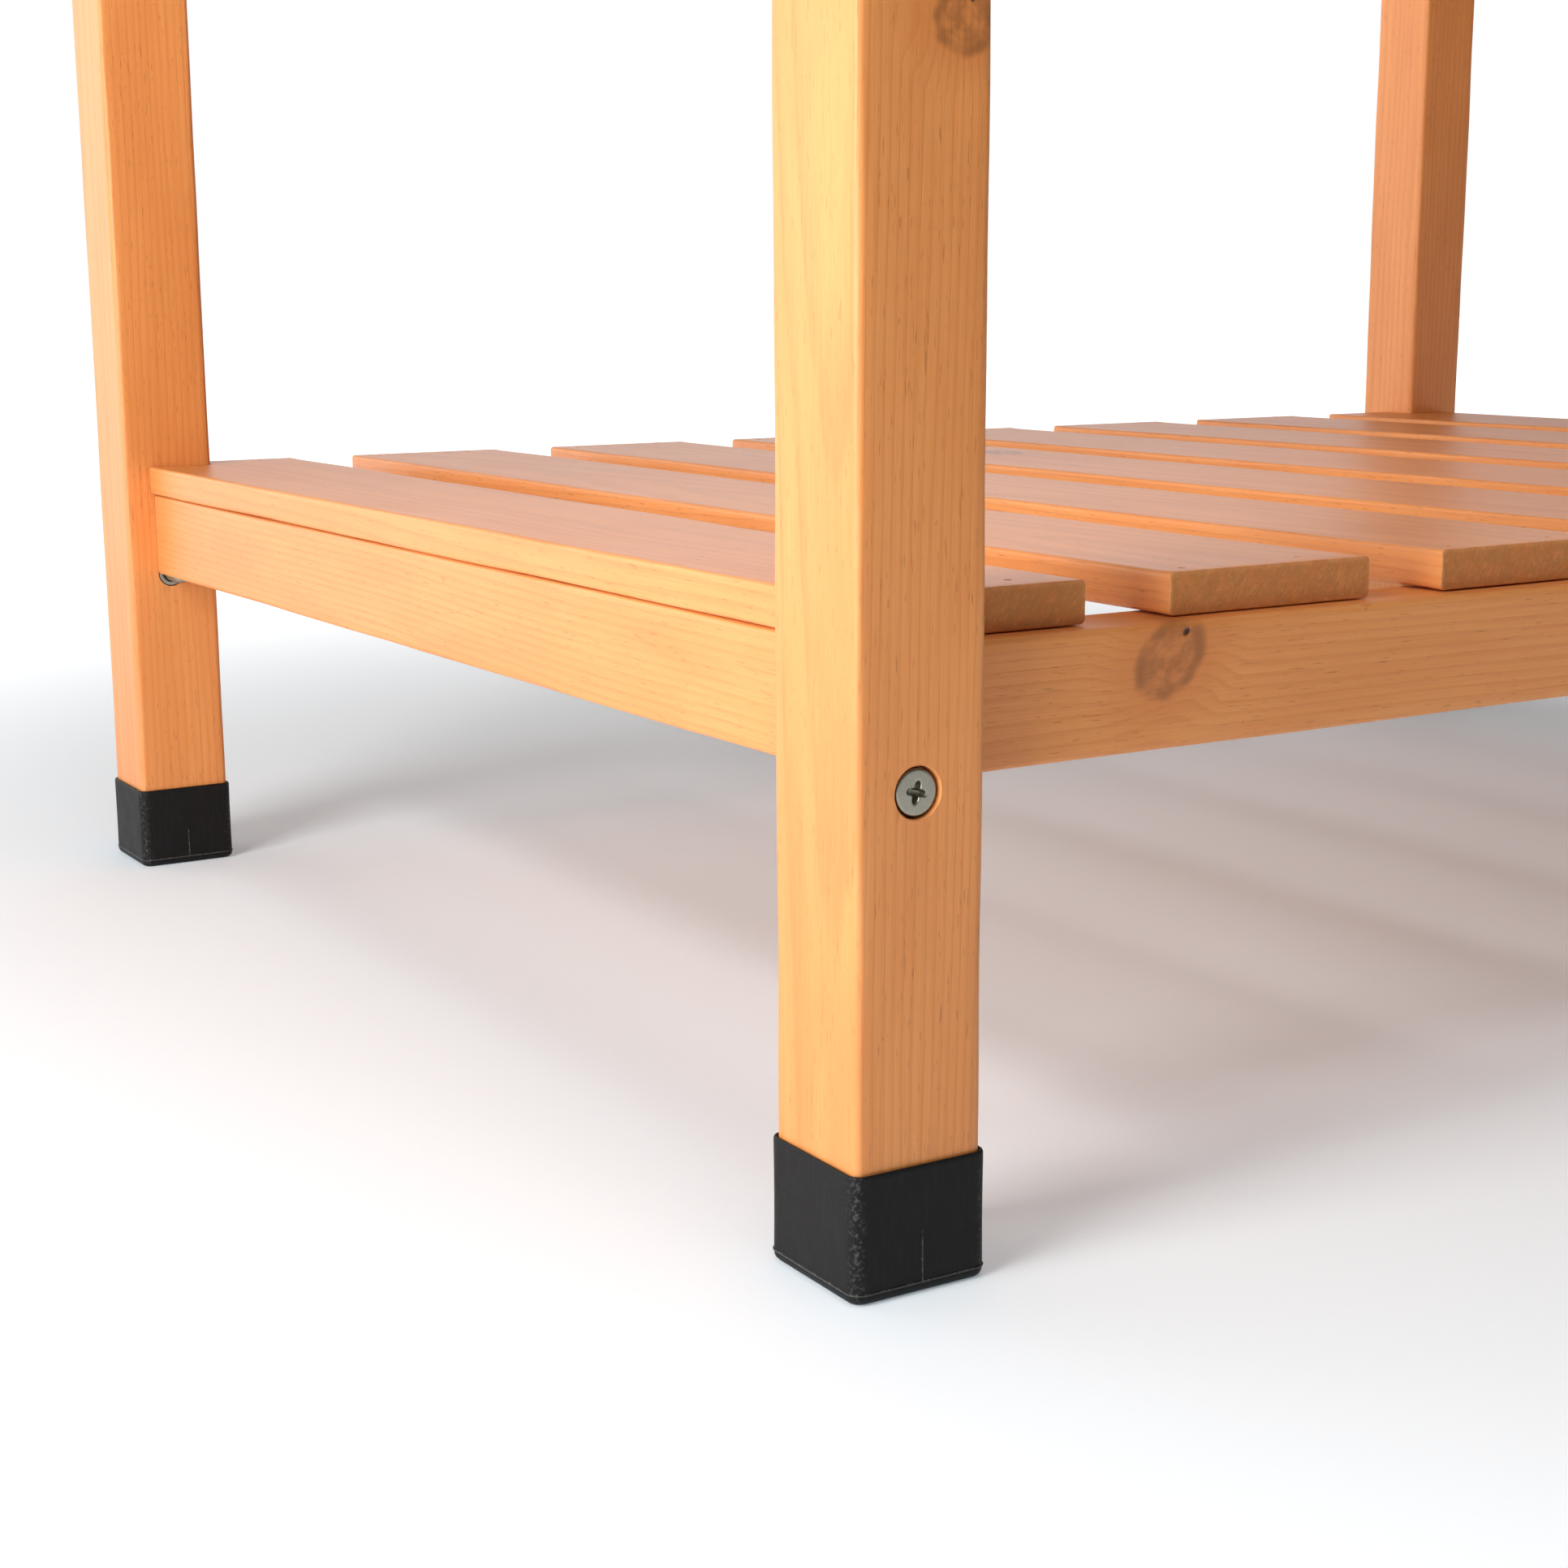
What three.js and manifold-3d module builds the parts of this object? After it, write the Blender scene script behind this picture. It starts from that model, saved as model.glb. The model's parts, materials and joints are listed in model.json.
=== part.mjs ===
// Wooden potting bench: two glued ladder frames (front and rear legs with their crossbars), joined by end
// aprons on bolts and barrel nuts, with a slatted lower shelf, a boarded worktop, one drawer and a top shelf.
// Millimetres, +Z up. The front faces -Y. The origin is on the floor, at the middle of the outline.
import * as THREE from 'three';
import { mergeVertices } from 'three/addons/utils/BufferGeometryUtils.js';
import Module from 'manifold-3d';

const wasm = await Module();
wasm.setup();

// Overall sizes
const WIDTH = 750; // over the legs, left to right
const DEPTH = 570; // over the legs, front to rear
const WORKTOP_HEIGHT = 820; // floor to the worktop's upper face
const OVERALL_HEIGHT = 1140; // floor to the top shelf's upper face

// Clearances
const SEAT = 0.3; // between faces that meet, and round pieces that are glued or screwed in
const NOTCH_CLEAR = 0.6; // round a leg, where a board is notched for it
const CAP_CLEAR = 0.3; // between a leg and the wall of its foot cap
const DRAWER_SIDE_CLEAR = 3; // between the drawer and each front leg
const DRAWER_TOP_CLEAR = 3; // between the drawer and the worktop

// Legs and foot caps
const LEG = 36; // square section
const LEG_ARRIS = 2;
const CAP_HEIGHT = 32;
const CAP_WALL = 1.2;
const CAP_FLOOR = 3;
const CAP_FILLET = 2; // round the cap's lower edge
const CAP_RIM = 0.4; // round the cap's upper edge

// Lower shelf
const RAIL_BOTTOM = 121; // floor to the underside of the shelf's rails
const RAIL_HEIGHT = 32;
const RAIL_THICK = 24;
const RAIL_ARRIS = 1.5;
const LONG_RAIL_INSET = 10.5; // behind the legs' front and rear faces
const END_RAIL_INSET = 11.5; // inside the legs' left and right faces
const SLAT_COUNT = 8;
const SLAT_WIDTH = 68;
const SLAT_THICK = 11;
const SLAT_ARRIS = 1.2;
const SLAT_SIDE_INSET = 10; // first and last slat, inside the legs' side faces
const SLAT_END_INSET = 17; // slat ends, behind the legs' front and rear faces

// Tenons of the crossbars
const TENON_LENGTH = 12;
const TENON_THICK = 12;
const TENON_SHOULDER = 5; // above and below the tenon

// Bolts, inserts and barrel nuts
const BOLT_INSET = 17; // bolt axis, inside the legs' side faces
const BOLT_RADIUS = 3;
const HEAD_RADIUS = 5.6;
const HEAD_THICK = 3.4;
const HEAD_EDGE = 0.35; // chamfer round the head's face
const HEAD_SUNK = 0.8; // head's face, below the leg's face
const COUNTERBORE_RADIUS = 6.3;
const DRIVE_SPAN = 5.4; // cross recess, tip to tip
const DRIVE_WIDTH = 1.8;
const DRIVE_DEPTH = 2.2;
const SHELF_BOLT_REACH = 14; // shank past the leg, under the end rail
const GROOVE_RUN = 2; // end rail's groove, past the bolt's tip
const INSERT_RADIUS = 5;
const INSERT_LENGTH = 12;
const NUT_RADIUS = 5;
const NUT_LENGTH = 16;
const NUT_BACK = 18; // nut's axis, from the apron's end
const NUT_PAST = 8; // bolt's tip, past the nut's axis

// Upper frame and worktop
const APRON_HEIGHT = 100;
const APRON_THICK = 22;
const APRON_ARRIS = 1.5;
const CROSSBAR_INSET = 6; // front rail and rear apron, behind the legs' faces
const FRONT_RAIL_HEIGHT = 24;
const BOARD_THICK = 18;
const BOARD_ARRIS = 2;
const BOARD_GAP = 3;
const TOP_BOARD_COUNT = 4;
const FRONT_OVERHANG = 20;
const SIDE_OVERHANG = 20;

// Back boards and top shelf
const BACK_BOARD_THICK = 16;
const BACK_BOARD_HEIGHT = 70;
const BACK_BOARD_INSET = 10; // in front of the rear legs' rear faces
const BACK_BOARD_ABOVE_TOP = 35; // worktop to the lower back board
const BACK_BOARD_BELOW_SHELF = 60; // top shelf to the upper back board
const TOP_SHELF_DEPTH = 150;
const BRACKET_THICK = 20;
const BRACKET_REACH = 90;
const BRACKET_DROP = 105;
const BRACKET_NOSE = 22; // blunt ends of the bracket's slope

// Drawer
const FACE_INSET = 6; // drawer's face, behind the front legs' faces
const FACE_THICK = 18;
const DRAWER_DEPTH = 440;
const DRAWER_SIDE_THICK = 12;
const DRAWER_SIDE_DROP = 10; // top of the sides, below the top of the face
const DRAWER_BOTTOM_THICK = 5;
const DRAWER_BOTTOM_RISE = 8; // underside of the bottom panel, above the drawer's lower edge
const GROOVE_DEPTH = 5;
const RUNNER_HEIGHT = 20;
const RUNNER_LEDGE = 5; // runner, past the inside of the drawer's side
const KNOB_RADIUS = 14;
const KNOB_NECK = 7;
const KNOB_LENGTH = 23;
const KNOB_SCREW_RADIUS = 2;
const KNOB_SCREW_GRIP = 12; // screw inside the knob
const SCREW_HEAD_RADIUS = 4;
const SCREW_HEAD_THICK = 2.4;

// Facets
const ARRIS_STEPS = 3;
const COUNTERBORE_STEPS = 32;
const TURNED_STEPS = 20;
const HOLE_STEPS = 16;
const DOME_STEPS = 6;

// Levels and faces that several pieces share
const legInnerX = WIDTH / 2 - LEG;
const legInnerY = DEPTH / 2 - LEG;
const railTop = RAIL_BOTTOM + RAIL_HEIGHT;
const topUnderside = WORKTOP_HEIGHT - BOARD_THICK;
const frameTop = topUnderside - SEAT;
const apronBottom = topUnderside - APRON_HEIGHT;
const apronBoltZ = topUnderside - APRON_HEIGHT / 2;
const endApronInset = BOLT_INSET - APRON_THICK / 2;
const boltX = WIDTH / 2 - BOLT_INSET;
const shelfUnderside = OVERALL_HEIGHT - BOARD_THICK;
const rearLegTop = shelfUnderside - SEAT;
const drawerLow = apronBottom + FRONT_RAIL_HEIGHT + SEAT;
const drawerHigh = topUnderside - DRAWER_TOP_CLEAR;
const drawerHalf = legInnerX - DRAWER_SIDE_CLEAR;
const faceFront = -DEPTH / 2 + FACE_INSET;
const faceBack = faceFront + FACE_THICK;
const drawerRear = faceFront + DRAWER_DEPTH;
const panelLow = drawerLow + DRAWER_BOTTOM_RISE;
const panelHigh = panelLow + DRAWER_BOTTOM_THICK;
const sideTop = drawerHigh - DRAWER_SIDE_DROP;
const knobZ = (drawerLow + drawerHigh) / 2;

const CORNERS = [
  { name: 'front_left', x: -1, y: -1 },
  { name: 'front_right', x: 1, y: -1 },
  { name: 'rear_left', x: -1, y: 1 },
  { name: 'rear_right', x: 1, y: 1 },
];
const SIDES = [
  { name: 'left', x: -1 },
  { name: 'right', x: 1 },
];

// A crossbar runs left to right between two legs. row is -1 at the front and 1 at the rear.
const crossbar = (name, row, inset, thick, low, height) => ({
  name, row, low, high: low + height, y: row * (DEPTH / 2 - inset - thick / 2), thick,
});
const CROSSBARS = [
  crossbar('shelf_rail_front', -1, LONG_RAIL_INSET, RAIL_THICK, RAIL_BOTTOM, RAIL_HEIGHT),
  crossbar('shelf_rail_rear', 1, LONG_RAIL_INSET, RAIL_THICK, RAIL_BOTTOM, RAIL_HEIGHT),
  crossbar('drawer_rail', -1, CROSSBAR_INSET, APRON_THICK, apronBottom, FRONT_RAIL_HEIGHT),
  crossbar('apron_rear', 1, CROSSBAR_INSET, APRON_THICK, apronBottom, APRON_HEIGHT - SEAT),
  crossbar('back_board_lower', 1, BACK_BOARD_INSET, BACK_BOARD_THICK,
    WORKTOP_HEIGHT + BACK_BOARD_ABOVE_TOP, BACK_BOARD_HEIGHT),
  crossbar('back_board_upper', 1, BACK_BOARD_INSET, BACK_BOARD_THICK,
    shelfUnderside - BACK_BOARD_BELOW_SHELF - BACK_BOARD_HEIGHT, BACK_BOARD_HEIGHT),
];

const finish = (color, roughness, metalness = 0) =>
  new THREE.MeshStandardMaterial({ color, roughness, metalness, flatShading: true });
const stainedFir = () => finish('#c98750', 0.6);
const drawerPine = () => finish('#d9a878', 0.65);
const plywood = () => finish('#cfa377', 0.7);
const blackPlastic = () => finish('#1f1e1e', 0.55);
const zincSteel = () => finish('#a8a89e', 0.35, 1);

// A closed solid's faces, ready to join and cut: shared corners merged and faces of no area dropped.
function toManifold(geometry) {
  const bare = geometry.clone();
  bare.deleteAttribute('normal');
  bare.deleteAttribute('uv');
  const merged = mergeVertices(bare, 1e-4);
  const corners = merged.index.array;
  const kept = [];
  for (let i = 0; i < corners.length; i += 3) {
    const [a, b, c] = [corners[i], corners[i + 1], corners[i + 2]];
    if (a !== b && b !== c && c !== a) kept.push(a, b, c);
  }
  const vertProperties = new Float32Array(merged.attributes.position.array);
  return new wasm.Manifold(new wasm.Mesh({ numProp: 3, vertProperties, triVerts: new Uint32Array(kept) }));
}

function toGeometry(manifold) {
  const mesh = manifold.getMesh();
  const geometry = new THREE.BufferGeometry();
  geometry.setAttribute('position', new THREE.BufferAttribute(new Float32Array(mesh.vertProperties), 3));
  geometry.setIndex(new THREE.BufferAttribute(new Uint32Array(mesh.triVerts), 1));
  geometry.computeVertexNormals();
  return geometry;
}

// The first solid with the others joined to it and the cutters taken out.
function shaped(geometry, joined, cutters) {
  if (joined.length + cutters.length === 0) return geometry;
  let solid = toManifold(geometry);
  for (const piece of joined) solid = solid.add(toManifold(piece));
  for (const cutter of cutters) solid = solid.subtract(toManifold(cutter));
  return toGeometry(solid);
}

function roundedRectangle(width, height, radius) {
  const [x, y] = [width / 2, height / 2];
  const shape = new THREE.Shape();
  shape.absarc(x - radius, y - radius, radius, 0, Math.PI / 2);
  shape.absarc(radius - x, y - radius, radius, Math.PI / 2, Math.PI);
  shape.absarc(radius - x, radius - y, radius, Math.PI, Math.PI * 1.5);
  shape.absarc(x - radius, radius - y, radius, Math.PI * 1.5, Math.PI * 2);
  return shape;
}

// For each grain direction: the two axes of the section, then the axis of the length.
const GRAIN_AXES = { x: ['y', 'z', 'x'], y: ['z', 'x', 'y'], z: ['x', 'y', 'z'] };
const UNIT = { x: new THREE.Vector3(1, 0, 0), y: new THREE.Vector3(0, 1, 0), z: new THREE.Vector3(0, 0, 1) };

// A bar about the origin with its four long edges rounded.
function bar(size, grain, radius) {
  const [u, v, length] = GRAIN_AXES[grain];
  const outline = roundedRectangle(size[u], size[v], radius);
  const geometry = new THREE.ExtrudeGeometry(outline, {
    depth: size[length], bevelEnabled: false, curveSegments: ARRIS_STEPS,
  });
  geometry.translate(0, 0, -size[length] / 2);
  return geometry.applyMatrix4(new THREE.Matrix4().makeBasis(UNIT[u], UNIT[v], UNIT[length]));
}

function block(low, high) {
  const size = new THREE.Vector3().subVectors(high, low);
  const middle = new THREE.Vector3().addVectors(low, high).multiplyScalar(0.5);
  return new THREE.BoxGeometry(size.x, size.y, size.z).translate(middle.x, middle.y, middle.z);
}

// A block from two opposite corners given in any order.
function blockBetween(a, b) {
  const [p, q] = [new THREE.Vector3(...a), new THREE.Vector3(...b)];
  return block(p.clone().min(q), p.clone().max(q));
}

// A round rod or hole along Y or X, from one end to the other.
function rodY(radius, from, to, x, z, steps = HOLE_STEPS) {
  const length = Math.abs(to - from);
  return new THREE.CylinderGeometry(radius, radius, length, steps).translate(x, (from + to) / 2, z);
}
function rodX(radius, from, to, y, z) {
  const length = Math.abs(to - from);
  const rod = new THREE.CylinderGeometry(radius, radius, length, HOLE_STEPS).rotateZ(-Math.PI / 2);
  return rod.translate((from + to) / 2, y, z);
}

function place(name, geometry, material, position) {
  const mesh = new THREE.Mesh(geometry, material);
  mesh.name = name;
  mesh.position.copy(position);
  return mesh;
}

// A wooden piece between two opposite corners, with tenons joined on and holes cut, all given in the
// bench's frame. Its mesh is built about its own middle and placed there.
function timber(name, a, b, grain, options = {}) {
  const { arris = BOARD_ARRIS, joined = [], cutters = [], material = stainedFir() } = options;
  const [p, q] = [new THREE.Vector3(...a), new THREE.Vector3(...b)];
  const [low, high] = [p.clone().min(q), p.clone().max(q)];
  const middle = low.clone().add(high).multiplyScalar(0.5);
  const toOwnFrame = (piece) => piece.translate(-middle.x, -middle.y, -middle.z);
  const body = bar(high.clone().sub(low), grain, arris);
  const geometry = shaped(body, joined.map(toOwnFrame), cutters.map(toOwnFrame));
  return place(name, geometry, material, middle);
}

// The tenon of a crossbar on one side. clear is added all round for its mortise.
function tenon(crossbarPiece, side, clear) {
  const halfThick = TENON_THICK / 2 + clear;
  const shoulder = TENON_SHOULDER - clear;
  return blockBetween(
    [side * (legInnerX - 2), crossbarPiece.y - halfThick, crossbarPiece.low + shoulder],
    [side * (legInnerX + TENON_LENGTH + clear), crossbarPiece.y + halfThick, crossbarPiece.high - shoulder],
  );
}

function crossbarTimber(piece) {
  const x = legInnerX - SEAT;
  return timber(piece.name, [-x, piece.y - piece.thick / 2, piece.low],
    [x, piece.y + piece.thick / 2, piece.high], 'x',
    { arris: RAIL_ARRIS, joined: SIDES.map((side) => tenon(piece, side.x, 0)) });
}

// Holes through a leg for one bolt: the clearance hole and the counterbore that sinks its head.
function boltHoles(corner, z) {
  const [outer, inner] = [corner.y * DEPTH / 2, corner.y * legInnerY];
  const seat = outer - corner.y * (HEAD_SUNK + HEAD_THICK + SEAT);
  return [
    rodY(BOLT_RADIUS + SEAT, outer + corner.y, inner - corner.y, corner.x * boltX, z),
    rodY(COUNTERBORE_RADIUS, outer + corner.y, seat, corner.x * boltX, z, COUNTERBORE_STEPS),
  ];
}

function leg(corner) {
  const [x, y] = [corner.x * legInnerX, corner.y * legInnerY];
  const insertEnd = y + corner.y * (INSERT_LENGTH + SEAT);
  const row = CROSSBARS.filter((piece) => piece.row === corner.y);
  const cutters = [
    ...boltHoles(corner, RAIL_BOTTOM),
    ...boltHoles(corner, apronBoltZ),
    rodY(INSERT_RADIUS + SEAT, y - corner.y, insertEnd, corner.x * boltX, RAIL_BOTTOM),
    ...row.map((piece) => tenon(piece, corner.x, SEAT)),
  ];
  const top = corner.y > 0 ? rearLegTop : frameTop;
  return timber(`leg_${corner.name}`, [x, y, CAP_FLOOR + SEAT],
    [corner.x * WIDTH / 2, corner.y * DEPTH / 2, top], 'z', { arris: LEG_ARRIS, cutters });
}

// A closed solid through square rings with rounded corners, each { half, radius, z }.
function squareLoft(rings) {
  const points = [];
  const faces = [];
  const perRing = 4 * (ARRIS_STEPS + 1);
  for (const { half, radius, z } of rings) {
    for (let corner = 0; corner < 4; corner += 1) {
      for (let step = 0; step <= ARRIS_STEPS; step += 1) {
        const angle = (corner + step / ARRIS_STEPS) * Math.PI / 2;
        const middle = (corner + 0.5) * Math.PI / 2;
        const centre = (half - radius) * Math.SQRT2;
        points.push(centre * Math.cos(middle) + radius * Math.cos(angle),
          centre * Math.sin(middle) + radius * Math.sin(angle), z);
      }
    }
  }
  for (let ring = 0; ring < rings.length - 1; ring += 1) {
    for (let i = 0; i < perRing; i += 1) {
      const [a, b] = [ring * perRing + i, ring * perRing + (i + 1) % perRing];
      faces.push(a, b, b + perRing, a, b + perRing, a + perRing);
    }
  }
  const last = (rings.length - 1) * perRing;
  for (let i = 1; i < perRing - 1; i += 1) {
    faces.push(0, i + 1, i, last, last + i, last + i + 1);
  }
  const geometry = new THREE.BufferGeometry();
  geometry.setAttribute('position', new THREE.Float32BufferAttribute(points, 3));
  geometry.setIndex(faces);
  geometry.computeVertexNormals();
  return geometry;
}

// A moulded cup that pushes onto the foot of a leg: up the outside, over the rim and down the inside.
function footCap(corner) {
  const inner = LEG / 2 + CAP_CLEAR;
  const outer = inner + CAP_WALL;
  const outerRadius = LEG_ARRIS + CAP_CLEAR + CAP_WALL;
  const rings = [];
  for (let step = 0; step <= ARRIS_STEPS; step += 1) {
    const angle = step / ARRIS_STEPS * Math.PI / 2;
    const inset = CAP_FILLET * (1 - Math.sin(angle));
    const z = CAP_FILLET * (1 - Math.cos(angle));
    rings.push({ half: outer - inset, radius: outerRadius - inset / 2, z });
  }
  rings.push({ half: outer, radius: outerRadius, z: CAP_HEIGHT - CAP_RIM });
  rings.push({ half: outer - CAP_RIM, radius: outerRadius - CAP_RIM, z: CAP_HEIGHT });
  rings.push({ half: inner, radius: LEG_ARRIS + CAP_CLEAR, z: CAP_HEIGHT });
  rings.push({ half: inner, radius: LEG_ARRIS + CAP_CLEAR, z: CAP_FLOOR });
  const [x, y] = [corner.x * (WIDTH - LEG) / 2, corner.y * (DEPTH - LEG) / 2];
  return place(`foot_cap_${corner.name}`, squareLoft(rings), blackPlastic(), new THREE.Vector3(x, y, 0));
}

// A rail from front to rear under the ends of the shelf. Grooves in its underside sit on the shelf bolts.
function shelfEndRail(side) {
  const outer = side.x * (WIDTH / 2 - END_RAIL_INSET);
  const y = legInnerY - SEAT;
  const grooveEnd = legInnerY - SHELF_BOLT_REACH - GROOVE_RUN;
  const groove = (row) =>
    rodY(BOLT_RADIUS + SEAT, row * legInnerY, row * grooveEnd, side.x * boltX, RAIL_BOTTOM);
  return timber(`shelf_end_rail_${side.name}`, [outer, -y, RAIL_BOTTOM],
    [outer - side.x * RAIL_THICK, y, railTop], 'y',
    { arris: RAIL_ARRIS, cutters: [groove(-1), groove(1)] });
}

// Slats run front to rear. Where one meets a leg it is notched round it.
function shelfSlat(index) {
  const room = WIDTH - 2 * SLAT_SIDE_INSET - SLAT_COUNT * SLAT_WIDTH;
  const pitch = SLAT_WIDTH + room / (SLAT_COUNT - 1);
  const left = -WIDTH / 2 + SLAT_SIDE_INSET + index * pitch;
  const right = left + SLAT_WIDTH;
  const y = DEPTH / 2 - SLAT_END_INSET;
  const low = railTop + SEAT;
  const notchX = legInnerX - NOTCH_CLEAR;
  const notchY = legInnerY - NOTCH_CLEAR;
  const meets = (corner) => (corner.x < 0 ? left < -notchX : right > notchX);
  const notch = (corner) => blockBetween([corner.x * notchX, corner.y * notchY, low - 1],
    [corner.x * (WIDTH / 2 + 1), corner.y * (DEPTH / 2 + 1), low + SLAT_THICK + 1]);
  return timber(`shelf_slat_${index + 1}`, [left, -y, low], [right, y, low + SLAT_THICK], 'y',
    { arris: SLAT_ARRIS, cutters: CORNERS.filter(meets).map(notch) });
}

// A flat-headed bolt along +Y with its head's face at y = 0 and a cross recess.
function boltGeometry(length) {
  const profile = [
    [0, 0], [HEAD_RADIUS - HEAD_EDGE, 0], [HEAD_RADIUS, HEAD_EDGE], [HEAD_RADIUS, HEAD_THICK],
    [BOLT_RADIUS, HEAD_THICK], [BOLT_RADIUS, length - 1], [BOLT_RADIUS - 1, length], [0, length],
  ].map(([radius, y]) => new THREE.Vector2(radius, y));
  const arms = [0, 1].map((turn) => bar(
    { x: DRIVE_SPAN, y: 2 * DRIVE_DEPTH, z: DRIVE_WIDTH }, 'y', DRIVE_WIDTH / 2 - 0.05,
  ).rotateY(turn * Math.PI / 2 + Math.PI / 12));
  return shaped(new THREE.LatheGeometry(profile, TURNED_STEPS), [], arms);
}

// Turned to point into the bench from the front or the rear face of its leg.
function faceInward(mesh, corner) {
  mesh.rotation.z = corner.y > 0 ? Math.PI : 0;
  return mesh;
}

function bolt(name, corner, z, length) {
  const head = new THREE.Vector3(corner.x * boltX, corner.y * (DEPTH / 2 - HEAD_SUNK), z);
  return faceInward(place(`${name}_${corner.name}`, boltGeometry(length), zincSteel(), head), corner);
}

const shelfBolt = (corner) => bolt('shelf_bolt', corner, RAIL_BOTTOM, LEG - HEAD_SUNK + SHELF_BOLT_REACH);
const apronBolt = (corner) => bolt('apron_bolt', corner, apronBoltZ,
  LEG - HEAD_SUNK + SEAT + NUT_BACK + NUT_PAST);

// A threaded sleeve in the inner face of a leg, which holds a shelf bolt.
function shelfBoltInsert(corner) {
  const bore = BOLT_RADIUS + SEAT;
  const profile = [
    [bore, 0], [INSERT_RADIUS, 0], [INSERT_RADIUS, INSERT_LENGTH], [bore, INSERT_LENGTH], [bore, 0],
  ].map(([radius, y]) => new THREE.Vector2(radius, y));
  const end = new THREE.Vector3(corner.x * boltX, corner.y * (legInnerY + INSERT_LENGTH), RAIL_BOTTOM);
  const sleeve = new THREE.LatheGeometry(profile, HOLE_STEPS);
  return faceInward(place(`shelf_bolt_insert_${corner.name}`, sleeve, zincSteel(), end), corner);
}

// A barrel nut lies across the apron, with its threaded hole on the bolt's axis.
function barrelNut(corner) {
  const barrel = rodX(NUT_RADIUS, -NUT_LENGTH / 2, NUT_LENGTH / 2, 0, 0);
  const hole = rodY(BOLT_RADIUS + SEAT, -NUT_RADIUS - 1, NUT_RADIUS + 1, 0, 0);
  const middle = new THREE.Vector3(corner.x * boltX, corner.y * (legInnerY - SEAT - NUT_BACK), apronBoltZ);
  return place(`barrel_nut_${corner.name}`, shaped(barrel, [], [hole]), zincSteel(), middle);
}

// An apron from front to rear, bored at each end for a bolt and, from inside, for its barrel nut.
function endApron(side) {
  const outer = side.x * (WIDTH / 2 - endApronInset);
  const inner = outer - side.x * APRON_THICK;
  const y = legInnerY - SEAT;
  const axis = side.x * boltX;
  const nutBlind = axis + side.x * (NUT_LENGTH / 2 + SEAT);
  const cutters = [-1, 1].flatMap((row) => [
    rodY(BOLT_RADIUS + SEAT, row * (y + 1), row * (y - NUT_BACK - NUT_PAST - SEAT), axis, apronBoltZ),
    rodX(NUT_RADIUS + SEAT, nutBlind, inner - side.x, row * (y - NUT_BACK), apronBoltZ),
  ]);
  return timber(`apron_${side.name}`, [outer, -y, apronBottom], [inner, y, frameTop], 'y',
    { arris: APRON_ARRIS, cutters });
}

// Worktop boards run left to right in front of the rear legs, and one more fills between those legs.
function worktop() {
  const front = -DEPTH / 2 - FRONT_OVERHANG;
  const rear = legInnerY - NOTCH_CLEAR;
  const width = (rear - front - (TOP_BOARD_COUNT - 1) * BOARD_GAP) / TOP_BOARD_COUNT;
  const x = WIDTH / 2 + SIDE_OVERHANG;
  const boards = [];
  for (let index = 0; index < TOP_BOARD_COUNT; index += 1) {
    const y = front + index * (width + BOARD_GAP);
    const far = [x, y + width, WORKTOP_HEIGHT];
    boards.push(timber(`worktop_board_${index + 1}`, [-x, y, topUnderside], far, 'x'));
  }
  const between = legInnerX - NOTCH_CLEAR;
  boards.push(timber('worktop_rear_strip', [-between, rear + BOARD_GAP, topUnderside],
    [between, DEPTH / 2, WORKTOP_HEIGHT], 'x'));
  return boards;
}

function topShelf() {
  const x = WIDTH / 2 + SIDE_OVERHANG;
  return timber('top_shelf', [-x, DEPTH / 2 - TOP_SHELF_DEPTH, shelfUnderside],
    [x, DEPTH / 2, OVERALL_HEIGHT], 'x');
}

// A five-sided bracket in front of a rear leg, in the plane of Y and Z under the top shelf.
function shelfBracket(side) {
  const outline = new THREE.Shape([
    [0, 0], [0, -BRACKET_DROP], [-BRACKET_NOSE, -BRACKET_DROP], [-BRACKET_REACH, -BRACKET_NOSE],
    [-BRACKET_REACH, 0],
  ].map(([y, z]) => new THREE.Vector2(y, z)));
  const slab = new THREE.ExtrudeGeometry(outline, { depth: BRACKET_THICK, bevelEnabled: false });
  slab.applyMatrix4(new THREE.Matrix4().makeBasis(UNIT.y, UNIT.z, UNIT.x));
  const x = side.x * (WIDTH - LEG) / 2 - BRACKET_THICK / 2;
  const corner = new THREE.Vector3(x, legInnerY - SEAT, rearLegTop);
  return place(`shelf_bracket_${side.name}`, slab, stainedFir(), corner);
}

// A batten inside each end apron, which a side of the drawer slides on.
function drawerRunner(side) {
  const outer = side.x * (WIDTH / 2 - endApronInset - APRON_THICK - SEAT);
  const inner = side.x * (drawerHalf - DRAWER_SIDE_THICK - RUNNER_LEDGE);
  const y = legInnerY - SEAT;
  const top = drawerLow - SEAT;
  return timber(`drawer_runner_${side.name}`, [outer, -y, top - RUNNER_HEIGHT], [inner, y, top], 'y',
    { arris: RAIL_ARRIS });
}

// The groove that the drawer's bottom panel sits in, inside the face and both sides.
function panelGroove() {
  const x = drawerHalf - DRAWER_SIDE_THICK + GROOVE_DEPTH;
  return blockBetween([-x, faceBack - GROOVE_DEPTH, panelLow - SEAT], [x, drawerRear + 1, panelHigh + SEAT]);
}

function drawerFace() {
  const hole = rodY(KNOB_SCREW_RADIUS + SEAT, faceFront - 1, faceBack + 1, 0, knobZ);
  return timber('drawer_face', [-drawerHalf, faceFront, drawerLow], [drawerHalf, faceBack, drawerHigh], 'x',
    { arris: APRON_ARRIS, cutters: [hole, panelGroove()] });
}

function drawerSide(side) {
  const outer = side.x * drawerHalf;
  return timber(`drawer_side_${side.name}`, [outer, faceBack + SEAT, drawerLow],
    [outer - side.x * DRAWER_SIDE_THICK, drawerRear, sideTop], 'y',
    { arris: RAIL_ARRIS, cutters: [panelGroove()], material: drawerPine() });
}

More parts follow.
